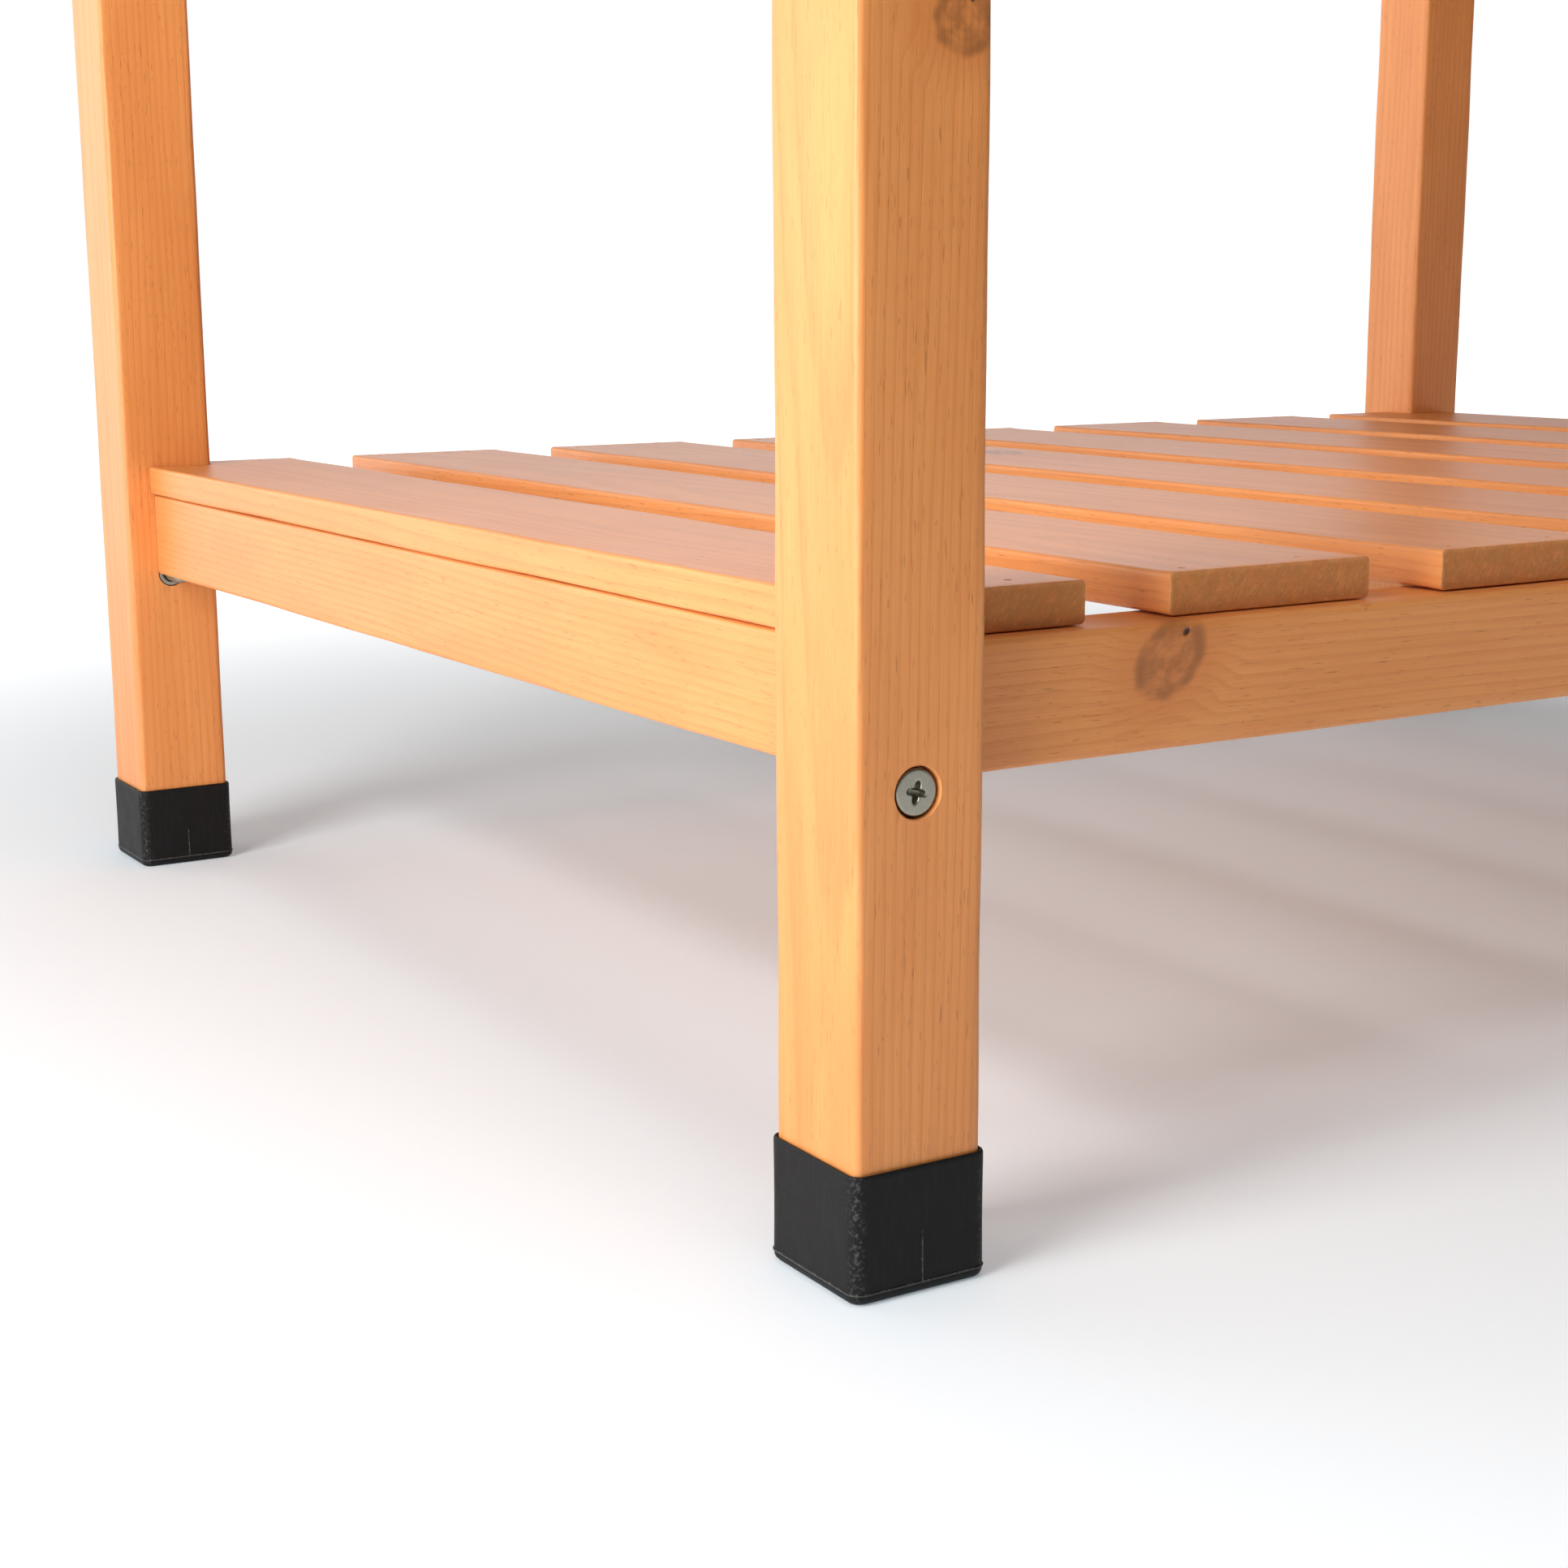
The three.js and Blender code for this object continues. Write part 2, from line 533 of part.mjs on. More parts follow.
function drawerBack() {
  const x = drawerHalf - DRAWER_SIDE_THICK - SEAT;
  const low = [-x, drawerRear - DRAWER_SIDE_THICK, panelHigh + SEAT];
  return timber('drawer_back', low, [x, drawerRear, sideTop], 'x',
    { arris: RAIL_ARRIS, material: drawerPine() });
}

function drawerPanel() {
  const x = drawerHalf - DRAWER_SIDE_THICK + GROOVE_DEPTH - SEAT;
  const low = [-x, faceBack - GROOVE_DEPTH + SEAT, panelLow];
  return timber('drawer_bottom', low, [x, drawerRear, panelHigh], 'x', { arris: SEAT, material: plywood() });
}

// A turned knob along -Y: flat foot on the drawer's face, waist, and a domed head. Its screw hole is blind.
function drawerKnob() {
  const hole = KNOB_SCREW_RADIUS + SEAT;
  const headStart = KNOB_LENGTH * 0.45;
  const points = [[0, KNOB_SCREW_GRIP + SEAT], [hole, KNOB_SCREW_GRIP + SEAT], [hole, 0], [KNOB_NECK + 2, 0]];
  points.push([KNOB_NECK, headStart / 2]);
  for (let step = 0; step < DOME_STEPS; step += 1) {
    const angle = (step / DOME_STEPS - 0.5) * Math.PI;
    const y = headStart + (KNOB_LENGTH - headStart) * (Math.sin(angle) + 1) / 2;
    points.push([KNOB_NECK + (KNOB_RADIUS - KNOB_NECK) * Math.cos(angle), y]);
  }
  points.push([0, KNOB_LENGTH]);
  const profile = points.map(([radius, y]) => new THREE.Vector2(radius, y));
  const knob = new THREE.LatheGeometry(profile, TURNED_STEPS);
  const mesh = place('drawer_knob', knob, stainedFir(), new THREE.Vector3(0, faceFront - SEAT, knobZ));
  mesh.rotation.x = Math.PI;
  return mesh;
}

function knobScrew() {
  const length = FACE_THICK + SEAT + KNOB_SCREW_GRIP;
  const profile = [
    [0, -SCREW_HEAD_THICK], [SCREW_HEAD_RADIUS - 1, -SCREW_HEAD_THICK],
    [SCREW_HEAD_RADIUS, -SCREW_HEAD_THICK / 2], [SCREW_HEAD_RADIUS, 0],
    [KNOB_SCREW_RADIUS, 0], [KNOB_SCREW_RADIUS, length], [0, length],
  ].map(([radius, y]) => new THREE.Vector2(radius, y));
  const screw = new THREE.LatheGeometry(profile, HOLE_STEPS);
  const mesh = place('knob_screw', screw, zincSteel(), new THREE.Vector3(0, faceBack + SEAT, knobZ));
  mesh.rotation.x = Math.PI;
  return mesh;
}

const lowerShelf = new THREE.Group();
lowerShelf.add(...SIDES.map(shelfEndRail));
lowerShelf.add(...Array.from({ length: SLAT_COUNT }, (_, index) => shelfSlat(index)));

const frame = new THREE.Group();
frame.add(...CORNERS.map(leg), ...CORNERS.map(footCap), ...CROSSBARS.map(crossbarTimber));
frame.add(...SIDES.map(endApron), ...SIDES.map(drawerRunner));
frame.add(...CORNERS.map(shelfBolt), ...CORNERS.map(shelfBoltInsert));
frame.add(...CORNERS.map(apronBolt), ...CORNERS.map(barrelNut));

const upper = new THREE.Group();
upper.add(...worktop(), topShelf(), ...SIDES.map(shelfBracket));

const drawer = new THREE.Group();
drawer.add(drawerFace(), ...SIDES.map(drawerSide), drawerBack(), drawerPanel(), drawerKnob(), knobScrew());

// The outline runs from the worktop's overhang in front to the foot caps behind. Its middle is the origin.
const bench = new THREE.Group();
bench.add(lowerShelf, frame, upper, drawer);
bench.position.y = (FRONT_OVERHANG - CAP_CLEAR - CAP_WALL) / 2;

export default bench;
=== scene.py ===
"""A wooden potting bench in a plain studio: its timber, hardware, light and camera.

Every piece is worked out in metres from the corners of the part that it stands for. Sizes below are
in millimetres and are turned to metres by MM where they are used. +Z is up and the front faces -Y.
"""
import itertools
import json
import math

import bmesh
import bpy
import numpy as np
from mathutils import Matrix, Vector

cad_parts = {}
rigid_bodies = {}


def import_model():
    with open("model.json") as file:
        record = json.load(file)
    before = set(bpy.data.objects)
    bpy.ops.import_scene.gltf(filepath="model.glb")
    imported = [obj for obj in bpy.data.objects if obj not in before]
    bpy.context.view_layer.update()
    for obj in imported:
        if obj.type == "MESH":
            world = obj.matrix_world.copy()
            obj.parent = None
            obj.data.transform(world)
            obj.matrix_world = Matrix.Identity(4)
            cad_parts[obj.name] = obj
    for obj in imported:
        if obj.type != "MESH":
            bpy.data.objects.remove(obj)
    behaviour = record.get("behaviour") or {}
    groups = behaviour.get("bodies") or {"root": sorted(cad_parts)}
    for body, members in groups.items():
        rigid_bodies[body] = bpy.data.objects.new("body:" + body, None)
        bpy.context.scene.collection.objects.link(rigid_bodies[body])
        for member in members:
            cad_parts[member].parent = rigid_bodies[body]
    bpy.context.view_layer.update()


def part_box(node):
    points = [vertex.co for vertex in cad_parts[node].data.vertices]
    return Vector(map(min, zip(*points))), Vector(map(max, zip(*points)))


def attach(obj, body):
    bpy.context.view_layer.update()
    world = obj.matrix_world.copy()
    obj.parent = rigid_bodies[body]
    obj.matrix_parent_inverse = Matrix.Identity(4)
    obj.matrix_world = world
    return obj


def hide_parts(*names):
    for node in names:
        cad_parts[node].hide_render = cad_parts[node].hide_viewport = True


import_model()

MM = 0.001
TURN = 2 * math.pi
SEAT = 0.3 * MM  # between faces that meet, and round glued and screwed pieces
NOTCH_CLEAR = 0.6 * MM  # round a leg, where a slat is notched for it
TENON_LENGTH = 12 * MM
TENON_THICK = 12 * MM
TENON_SHOULDER = 5 * MM  # above and below a tenon
LEG = 36 * MM
HEAD_THICK = 3.4 * MM  # a bolt's head
COUNTERBORE = 6.3 * MM  # radius of the hole that sinks a bolt's head
BOLT_HOLE = 3.3 * MM  # radius of the hole for a bolt's shank
SLEEVE = 12 * MM  # length of a threaded insert
NUT_HOLE = 5.3 * MM  # radius of the hole for an insert or a barrel nut
GROOVE = 16 * MM  # length of the groove for a shelf bolt's end
SHANK_SIDES = 32  # round a hole that nothing shows in

CORNERS = ["front_left", "front_right", "rear_left", "rear_right"]
SIDES = ["left", "right"]
FRONT_BARS = ["shelf_rail_front", "drawer_rail"]
REAR_BARS = ["shelf_rail_rear", "apron_rear", "back_board_lower", "back_board_upper"]
SLATS = [f"shelf_slat_{number}" for number in range(1, 9)]
TOP_BOARDS = [f"worktop_board_{number}" for number in range(1, 5)] + ["worktop_rear_strip", "top_shelf"]


# ---------------------------------------------------------------- shapes

def corners(name):
    """Lowest and highest corner of a part of the frame, as arrays."""
    return tuple(np.array(corner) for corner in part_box(name))


def grid_faces(rows, columns, closed=False):
    """Quads over a grid of rows by columns whose columns wrap round, and its rows too when closed."""
    row = np.arange(rows if closed else rows - 1)[:, None]
    column = np.arange(columns)[None, :]
    below, above = row * columns, (row + 1) % rows * columns
    beside = (column + 1) % columns
    quads = [below + column, below + beside, above + beside, above + column]
    return np.stack(quads, axis=-1).reshape(-1, 4)


def mesh_of(name, points, closed=False):
    """A closed mesh over a grid of points. Points that meet, as at a pole, become one, and the faces are
    turned outwards by the sign of the volume that they hold."""
    rows, columns = points.shape[:2]
    mesh = bpy.data.meshes.new(name)
    mesh.from_pydata(points.reshape(-1, 3).tolist(), [], grid_faces(rows, columns, closed).tolist())
    work = bmesh.new()
    work.from_mesh(mesh)
    bmesh.ops.remove_doubles(work, verts=work.verts, dist=0.002 * MM)
    bmesh.ops.dissolve_degenerate(work, edges=work.edges, dist=0.001 * MM)
    if work.calc_volume(signed=True) < 0:
        bmesh.ops.reverse_faces(work, faces=work.faces)
    work.to_mesh(mesh)
    work.free()
    return mesh


def placed(mesh):
    """An object for a mesh, at the origin, in the scene."""
    piece = bpy.data.objects.new(mesh.name, mesh)
    bpy.context.scene.collection.objects.link(piece)
    return piece


def outline(half_u, half_v, radius, spacing):
    """Rounded rectangles, one for each row of half sizes and radii: quarter circles about the corners'
    centres, joined by straight runs with a point about every spacing. Every row has the same points."""
    steps = 5
    angles = np.concatenate([np.linspace(0, 90, steps + 1) + 90 * side for side in range(4)])
    circle = np.stack([np.cos(np.radians(angles)), np.sin(np.radians(angles))], axis=-1)
    signs = np.repeat([[1, 1], [-1, 1], [-1, -1], [1, -1]], steps + 1, axis=0)
    both = np.concatenate([signs, circle], axis=-1)
    runs = []
    for side, length in enumerate([half_u.max(), half_v.max()] * 2):
        start = (side + 1) * (steps + 1) - 1
        end = (start + 1) % len(both)
        count = max(2, round(2 * length / spacing))
        share = np.linspace(0, 1, count + 1)[1:-1, None]
        runs += [both[side * (steps + 1):start + 1], both[start] * (1 - share) + both[end] * share]
    sign_u, sign_v, cos, sin = np.concatenate(runs).T
    half_u, half_v, radius = half_u[:, None], half_v[:, None], radius[:, None]
    return sign_u * (half_u - radius) + cos * radius, sign_v * (half_v - radius) + sin * radius


def end_rows(low, half, arris, depth, steps=5):
    """Rows that close one end of a bar: flat rings that step in by equal amounts to the middle line, and a
    quarter circle of radius arris out to the bar's side. Gives how far along and how far in each row is."""
    flat = np.linspace(half, arris, max(3, round((half - arris) / depth)) + 1)
    angle = np.linspace(0, math.pi / 2, steps + 1)[1:]
    along = np.concatenate([np.full(len(flat), low), low + arris * (1 - np.cos(angle))])
    return along, np.concatenate([flat, arris * (1 - np.sin(angle))])


def bar_points(length, half_u, half_v, arris, spacing, tenon=None, saw=0.0, seed=0):
    """A bar of wood about the origin. Its section is a rounded rectangle carried along the length: the ends
    round over by the arris, a tenon steps in at each end, and the planed faces wander inwards by a tenth of
    a millimetre on slow sines. saw is how deep the saw has torn the end faces, on a sum of slanted sines."""
    rng = np.random.default_rng(seed)
    half = length / 2
    thin = min(half_u, half_v)
    end_arris = 0.4 * arris
    along, inset = end_rows(0.0, thin, end_arris, spacing / 2)
    body = np.linspace(end_arris, half, max(3, round(half / (4 * spacing))))[1:]
    along, inset = np.append(along, body), np.append(inset, np.zeros(len(body)))
    u, v = half_u - inset, half_v - inset
    if tenon:
        reach, tenon_u, tenon_v = tenon
        tenon_thin = min(tenon_u, tenon_v)
        cap, cap_inset = end_rows(-reach, tenon_thin, 0.5 * MM, spacing)
        ring = along > 0
        along = np.concatenate([cap, [0.0, 0.0], along[ring]])
        u = np.concatenate([tenon_u - cap_inset, [tenon_u, half_u - end_arris], u[ring]])
        v = np.concatenate([tenon_v - cap_inset, [tenon_v, half_v - end_arris], v[ring]])
    place = np.concatenate([along - half, (half - along)[-2::-1]])
    u, v = np.concatenate([u, u[-2::-1]]), np.concatenate([v, v[-2::-1]])
    phase = rng.uniform(0, TURN, 6)
    wander = 0.05 * MM * (2 + np.sin(place / (43 * MM) + phase[0]) + np.sin(place / (19 * MM) + phase[1]))
    inside = np.abs(place) < half - 3 * end_arris
    radius = arris * (1 + 0.12 * np.sin(place / (31 * MM) + phase[2]) + 0.08 * np.sin(place / (9 * MM)))
    radius = np.minimum(radius, np.minimum(u, v))
    points_u, points_v = outline(u - wander * inside, v - wander * inside, radius, spacing)
    points_w = np.repeat(place[:, None], points_u.shape[1], axis=1)
    if saw:
        slant = points_u * 0.8 + points_v * 0.6
        torn = 2 + np.sin(slant / (0.5 * MM) + phase[3]) + np.sin(slant / (1.3 * MM) + phase[4])
        torn += np.sin(points_v / (0.7 * MM) + points_u / (2.1 * MM) + phase[5])
        torn += np.sin(points_u / (0.17 * MM) + points_v / (0.21 * MM))
        near_end = np.clip((np.abs(points_w) - half) / end_arris + 1, 0, 1)
        points_w -= np.sign(points_w) * near_end * np.clip(torn, 0, 6) / 6 * saw
    return points_u, points_v, points_w


def turned(name, axial, radial, start, direction, columns=48, closed=False, ripple=None):
    """A turned shape: a profile of distances along and out from an axis, carried round it. ripple, if it is
    given, is a function of the distance along and the angle that is added to the radius."""
    axis = Vector(direction)
    side = axis.orthogonal().normalized()
    third = axis.cross(side)
    angle = np.linspace(0, TURN, columns, endpoint=False)[None, :]
    along, out = np.array(axial)[:, None], np.array(radial)[:, None] + 0 * angle
    if ripple:
        out = out + ripple(along, angle)
    points = np.array(start) + along[..., None] * np.array(axis)
    points = points + (out * np.cos(angle))[..., None] * np.array(side)
    return mesh_of(name, points + (out * np.sin(angle))[..., None] * np.array(third), closed)


def block(low, high):
    """A plain block to cut with, between two corners: a middle point, an outline, the same outline above
    it and a middle point above that."""
    centre, half = (low + high) / 2, (high - low) / 2
    ring = np.array([[1, 1], [-1, 1], [-1, -1], [1, -1]])
    points = np.empty((4, 4, 3))
    points[..., :2] = centre[:2] + half[:2] * ring * np.array([0, 1, 1, 0])[:, None, None]
    points[..., 2] = np.array([low[2], low[2], high[2], high[2]])[:, None]
    return mesh_of("block", points)


def bore(start, end, steps, flare=0.0):
    """A stepped hole to cut with, from start to end: steps are (distance, radius) pairs, each radius held
    up to its distance. flare widens the mouth by a small chamfer."""
    start, end = Vector(start), Vector(end)
    axis = (end - start).normalized()
    axial, radial = [-1 * MM], [0.0]
    last = -1 * MM
    for distance, radius in steps:
        axial += [last, distance]
        radial += [radius, radius]
        last = distance
    if flare:
        axial[1:2] = [-1 * MM, 0.0, flare]
        radial[1:2] = [radial[1] + flare, radial[1] + flare, radial[1]]
    return turned("bore", axial + [last], radial + [0.0], start, axis, columns=64)


def cut(piece, cutters):
    """Takes shapes that don't meet each other out of a piece."""
    work = bmesh.new()
    for mesh in cutters:
        work.from_mesh(mesh)
    joined = bpy.data.meshes.new("cutter")
    work.to_mesh(joined)
    work.free()
    cutter = placed(joined)
    modifier = piece.modifiers.new("cut", "BOOLEAN")
    modifier.object = cutter
    modifier.operation = "DIFFERENCE"
    modifier.solver = "EXACT"
    shaped = bpy.data.meshes.new_from_object(piece.evaluated_get(bpy.context.evaluated_depsgraph_get()))
    piece.modifiers.clear()
    shaped.name = piece.name
    piece.data = shaped
    bpy.data.objects.remove(cutter)


def smooth(piece, angle=35):
    """Rounded faces shade as one, and edges sharper than the angle stay crisp."""
    piece.data.shade_smooth()
    piece.data.set_sharp_from_angle(angle=math.radians(angle))


def attribute(piece, name, values, kind="FLOAT", domain="POINT"):
    """Puts values on a piece's mesh for its material to read."""
    made = piece.data.attributes.new(name, kind, domain)
    made.data.foreach_set("vector" if kind == "FLOAT_VECTOR" else "value", values.astype(np.float32).ravel())


def stand_for(piece, material, body, slot, *nodes):
    """Gives a piece its material and puts it in the place of parts of the frame, on their body."""
    piece.data.materials.clear()
    piece.data.materials.append(material)
    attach(piece, body)
    if nodes:
        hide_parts(*nodes)
    return piece


# ---------------------------------------------------------------- materials

TIMES = {"operation": "MULTIPLY"}
PLUS = {"operation": "ADD"}
SMOOTH = {"interpolation_type": "SMOOTHSTEP"}
RGBA = {"data_type": "RGBA"}


def linear(hex_colour):
    """The linear red, green, blue and alpha of an sRGB hex colour."""
    srgb = np.array([int(hex_colour[i:i + 2], 16) for i in (1, 3, 5)]) / 255
    rgb = np.where(srgb <= 0.04045, srgb / 12.92, ((srgb + 0.055) / 1.055) ** 2.4)
    return (*rgb.tolist(), 1.0)


def add(tree, kind, inputs=(), **settings):
    """Adds a shader node. settings are its own properties. inputs give its sockets, in order or by name, a
    value or the socket that feeds each. Gives the node's first output."""
    made = tree.nodes.new("ShaderNode" + kind)
    for key, value in settings.items():
        setattr(made, key, value)
    sockets = [socket for socket in made.inputs if socket.enabled]
    if isinstance(inputs, dict):
        sockets = [next(socket for socket in sockets if socket.name == key) for key in inputs]
        inputs = inputs.values()
    for socket, value in zip(sockets, inputs):
        if isinstance(value, bpy.types.NodeSocket):
            tree.links.new(value, socket)
        else:
            socket.default_value = value
    return next(output for output in made.outputs if output.enabled)


def new_material(name, **sockets):
    """A material with a Principled shader whose named sockets are set. Gives it, its tree and its shader."""
    material = bpy.data.materials.new(name)
    material.use_nodes = True
    shader = material.node_tree.nodes["Principled BSDF"]
    for key, value in sockets.items():
        shader.inputs[key.replace("_", " ")].default_value = value
    return material, material.node_tree, shader


def softwood(name, colours, ring, contrast, **sockets):
    """Planed softwood, sawn with the grain along the piece. The grain attribute holds metres from the heart
    of the log: across, across, and along it. Years are shells about the heart, a little uneven, each with a
    thin band of dark late wood; fine fibre lines and short dark flecks run along them. The knot attribute
    holds distances from a knot in knot sizes: the years bend round it and it is darker, with a black pit.
    End faces show the years across, darker and rough from the saw, and the arrises are paler in patches, a
    painted highlight."""
    material, tree, shader = new_material(name, **sockets)
    pale, body, late, fleck, knot_brown, end_brown = (linear(colour) for colour in colours)
    pit_black = linear("#3A1D0C")
    grain = add(tree, "Attribute", attribute_name="grain").node.outputs["Vector"]
    knot = add(tree, "Attribute", attribute_name="knot").node.outputs["Vector"]
    end = add(tree, "Attribute", attribute_name="end_grain").node.outputs["Fac"]
    wear_and_highlight = add(tree, "Attribute", attribute_name="arris").node.outputs["Fac"]

    # Noises, each with the millimetres of its features across and along the grain, detail and roughness
    noises = []
    for across, along, detail, roughness in (
            (28, 300, 2, 0.5), (0.5, 45, 3, 0.6), (16, 70, 3, 0.5), (0.55, 6, 1, 0.5), (1.6, 3.5, 2, 0.7),
            (4, 14, 2, 0.5)):
        fine = (1 / (across * MM), 1 / (across * MM), 1 / (along * MM))
        noises.append(add(tree, "TexNoise", {
            "Vector": add(tree, "VectorMath", (grain, fine), **TIMES), "Scale": 1.0, "Detail": detail,
            "Roughness": roughness}))
    drift, fibre, clouds, flecks, specks, highlight_patches = noises

    # The knot's own shape: an oval with a wavering edge, and the wood that it pushes aside
    wave = add(tree, "TexNoise", {"Vector": knot, "Scale": 1.1, "Detail": 2.0}).node.outputs["Color"]
    waver = add(tree, "VectorMath", (wave, (0.5, 0.5, 0.5)), operation="SUBTRACT")
    bent = add(tree, "VectorMath", (waver, (0.35, 0.35, 0.35), knot), operation="MULTIPLY_ADD")
    depth = add(tree, "VectorMath", (bent,), operation="LENGTH")
    inside = add(tree, "MapRange", (depth, 0.7, 1.05, 1, 0), **SMOOTH)
    halo = add(tree, "MapRange", (depth, 0.8, 2.6, 1, 0), **SMOOTH)
    side = add(tree, "SeparateXYZ", (bent,)).node.outputs["Y"]
    push = add(tree, "Math", (add(tree, "Math", (side, halo), **TIMES), 3.5 * MM), **TIMES)

    # Years: how far the heart is, with a slow drift, in rings, and the dark band that ends each one
    flat = add(tree, "VectorMath", (grain, (1, 1, 0)), **TIMES)
    heart = add(tree, "VectorMath", (flat,), operation="LENGTH")
    uneven = add(tree, "Math", (heart, add(tree, "Math", (drift, 9 * MM), **TIMES)), **PLUS)
    shells = add(tree, "Math", (add(tree, "Math", (uneven, push), **PLUS), ring * MM), operation="DIVIDE")
    year = add(tree, "Math", (shells,), operation="FRACT")
    dark_band = add(tree, "Math", (add(tree, "MapRange", (year, 0.35, 0.9), **SMOOTH),
                                   add(tree, "MapRange", (year, 0.9, 1, 1, 0), **SMOOTH)), **TIMES)

    # Knot: brown rings inside with paler patches, a thin dark rim, a soft shade around, and a black pit
    rim = add(tree, "Math", (add(tree, "MapRange", (depth, 0.6, 0.88), **SMOOTH),
                             add(tree, "MapRange", (depth, 0.88, 1.15, 1, 0), **SMOOTH)), **TIMES)
    broken = add(tree, "TexNoise", {"Vector": knot, "Scale": 1.0})
    rim = add(tree, "Math", (rim, add(tree, "MapRange", (broken, 0.3, 0.56), **SMOOTH)), **TIMES)
    turns = add(tree, "Math", (add(tree, "Math", (depth, 26.0), **TIMES),), operation="SINE")
    patches = add(tree, "TexNoise", {"Vector": bent, "Scale": 1.9, "Detail": 5.0})
    brown = add(tree, "Math", (add(tree, "MapRange", (turns, -1, 1, 0.18, 0.28), **SMOOTH),
                               add(tree, "MapRange", (patches, 0.4, 0.6, 0, 0.4), **SMOOTH)), **PLUS)
    spot = add(tree, "VectorMath", (knot, (1, 1, 0)), **TIMES)
    reach = add(tree, "VectorMath", (spot, (0.62, 0.28, 0.0)), operation="DISTANCE")
    pit = add(tree, "MapRange", (reach, 0.05, 0.14, 1, 0), **SMOOTH)

    # Each layer of colour goes over the last: how much of it shows, and its colour
    colour = body
    for share, tint in (
            (add(tree, "Math", (dark_band, contrast), **TIMES), late),
            (add(tree, "MapRange", (fibre, 0.3, 0.72, 0, 0.42), **SMOOTH), pale),
            (add(tree, "MapRange", (clouds, 0.35, 0.68, 0, 0.3), **SMOOTH), late),
            (add(tree, "MapRange", (flecks, 0.66, 0.74, 0, 0.4), **SMOOTH), fleck),
            (add(tree, "MapRange", (specks, 0.74, 0.78, 0, 0.45), **SMOOTH), fleck),
            (add(tree, "Math", (halo, 0.6), **TIMES), late),
            (add(tree, "Math", (inside, brown), **TIMES), knot_brown),
            (add(tree, "Math", (rim, 0.75), **TIMES), knot_brown),
            (pit, pit_black)):
        colour = add(tree, "Mix", (share, colour, tint), **RGBA)

    # End grain, and arrises paler with a painted highlight
    slanted = add(tree, "Mapping", {"Vector": grain, "Rotation": (0, 0, math.radians(38))})
    sawn_at = add(tree, "VectorMath", (slanted, (1 / (0.9 * MM), 1 / (3.2 * MM), 1 / (0.9 * MM))), **TIMES)
    torn = add(tree, "TexNoise", {"Vector": sawn_at, "Scale": 1.0, "Detail": 4.0, "Roughness": 0.75,
                                  "Distortion": 0.8})
    patchy = add(tree, "TexNoise", {"Vector": grain, "Scale": 1 / (7 * MM), "Detail": 3.0})
    sawn = add(tree, "Mix", (add(tree, "MapRange", (torn, 0.4, 0.75), **SMOOTH), end_brown, colour), **RGBA)
    sawn = add(tree, "Mix", (add(tree, "MapRange", (patchy, 0.35, 0.7, 0, 0.5), **SMOOTH), sawn, late),
               **RGBA)
    # Painted highlight: the arrises are turned towards the pale colour in patches, where two faces meet.
    arris_highlight = add(tree, "Math", (wear_and_highlight, add(tree, "MapRange", (highlight_patches, 0.35, 0.65, 0.15, 0.55), **SMOOTH)),
                 **TIMES)
    colour = add(tree, "Mix", (end, colour, sawn), **RGBA)
    tree.links.new(add(tree, "Mix", (arris_highlight, colour, pale), **RGBA), shader.inputs["Base Color"])

    dull = add(tree, "Math", (fibre, end), **PLUS)
    rough = add(tree, "MapRange", (dull, 0.3, 1.6, sockets["Roughness"] - 0.05, 0.8), **SMOOTH)
    tree.links.new(rough, shader.inputs["Roughness"])

    # Raised fibre and late wood, the knot's pit and the saw's marks
    relief = 0.0
    for height, share in ((fibre, 0.6), (dark_band, 0.25), (pit, -6.0),
                          (add(tree, "Math", (torn, end), **TIMES), 4.0)):
        relief = add(tree, "Math", (height, share, relief), operation="MULTIPLY_ADD")
    bump = add(tree, "Bump", {"Height": relief, "Strength": 0.55, "Distance": 0.12 * MM})
    tree.links.new(bump, shader.inputs["Normal"])
    return material


# Fir, planed and dipped in a thin orange-brown stain: even, warm, satin, with faint straight grain.
stained_fir = softwood(
    "stained_fir", ["#ECA566", "#E4914C", "#D27C3C", "#94501F", "#975A2C", "#BC7A40"],
    ring=2.6, contrast=0.55, Roughness=0.45)

# Pine, planed and left bare inside the drawer: pale straw yellow with clearer, pinker late wood.
bare_pine = softwood(
    "bare_pine", ["#F0D6A8", "#E6C48F", "#D19C62", "#A87440", "#9A6133", "#C99E66"],
    ring=3.4, contrast=0.8, Roughness=0.58)


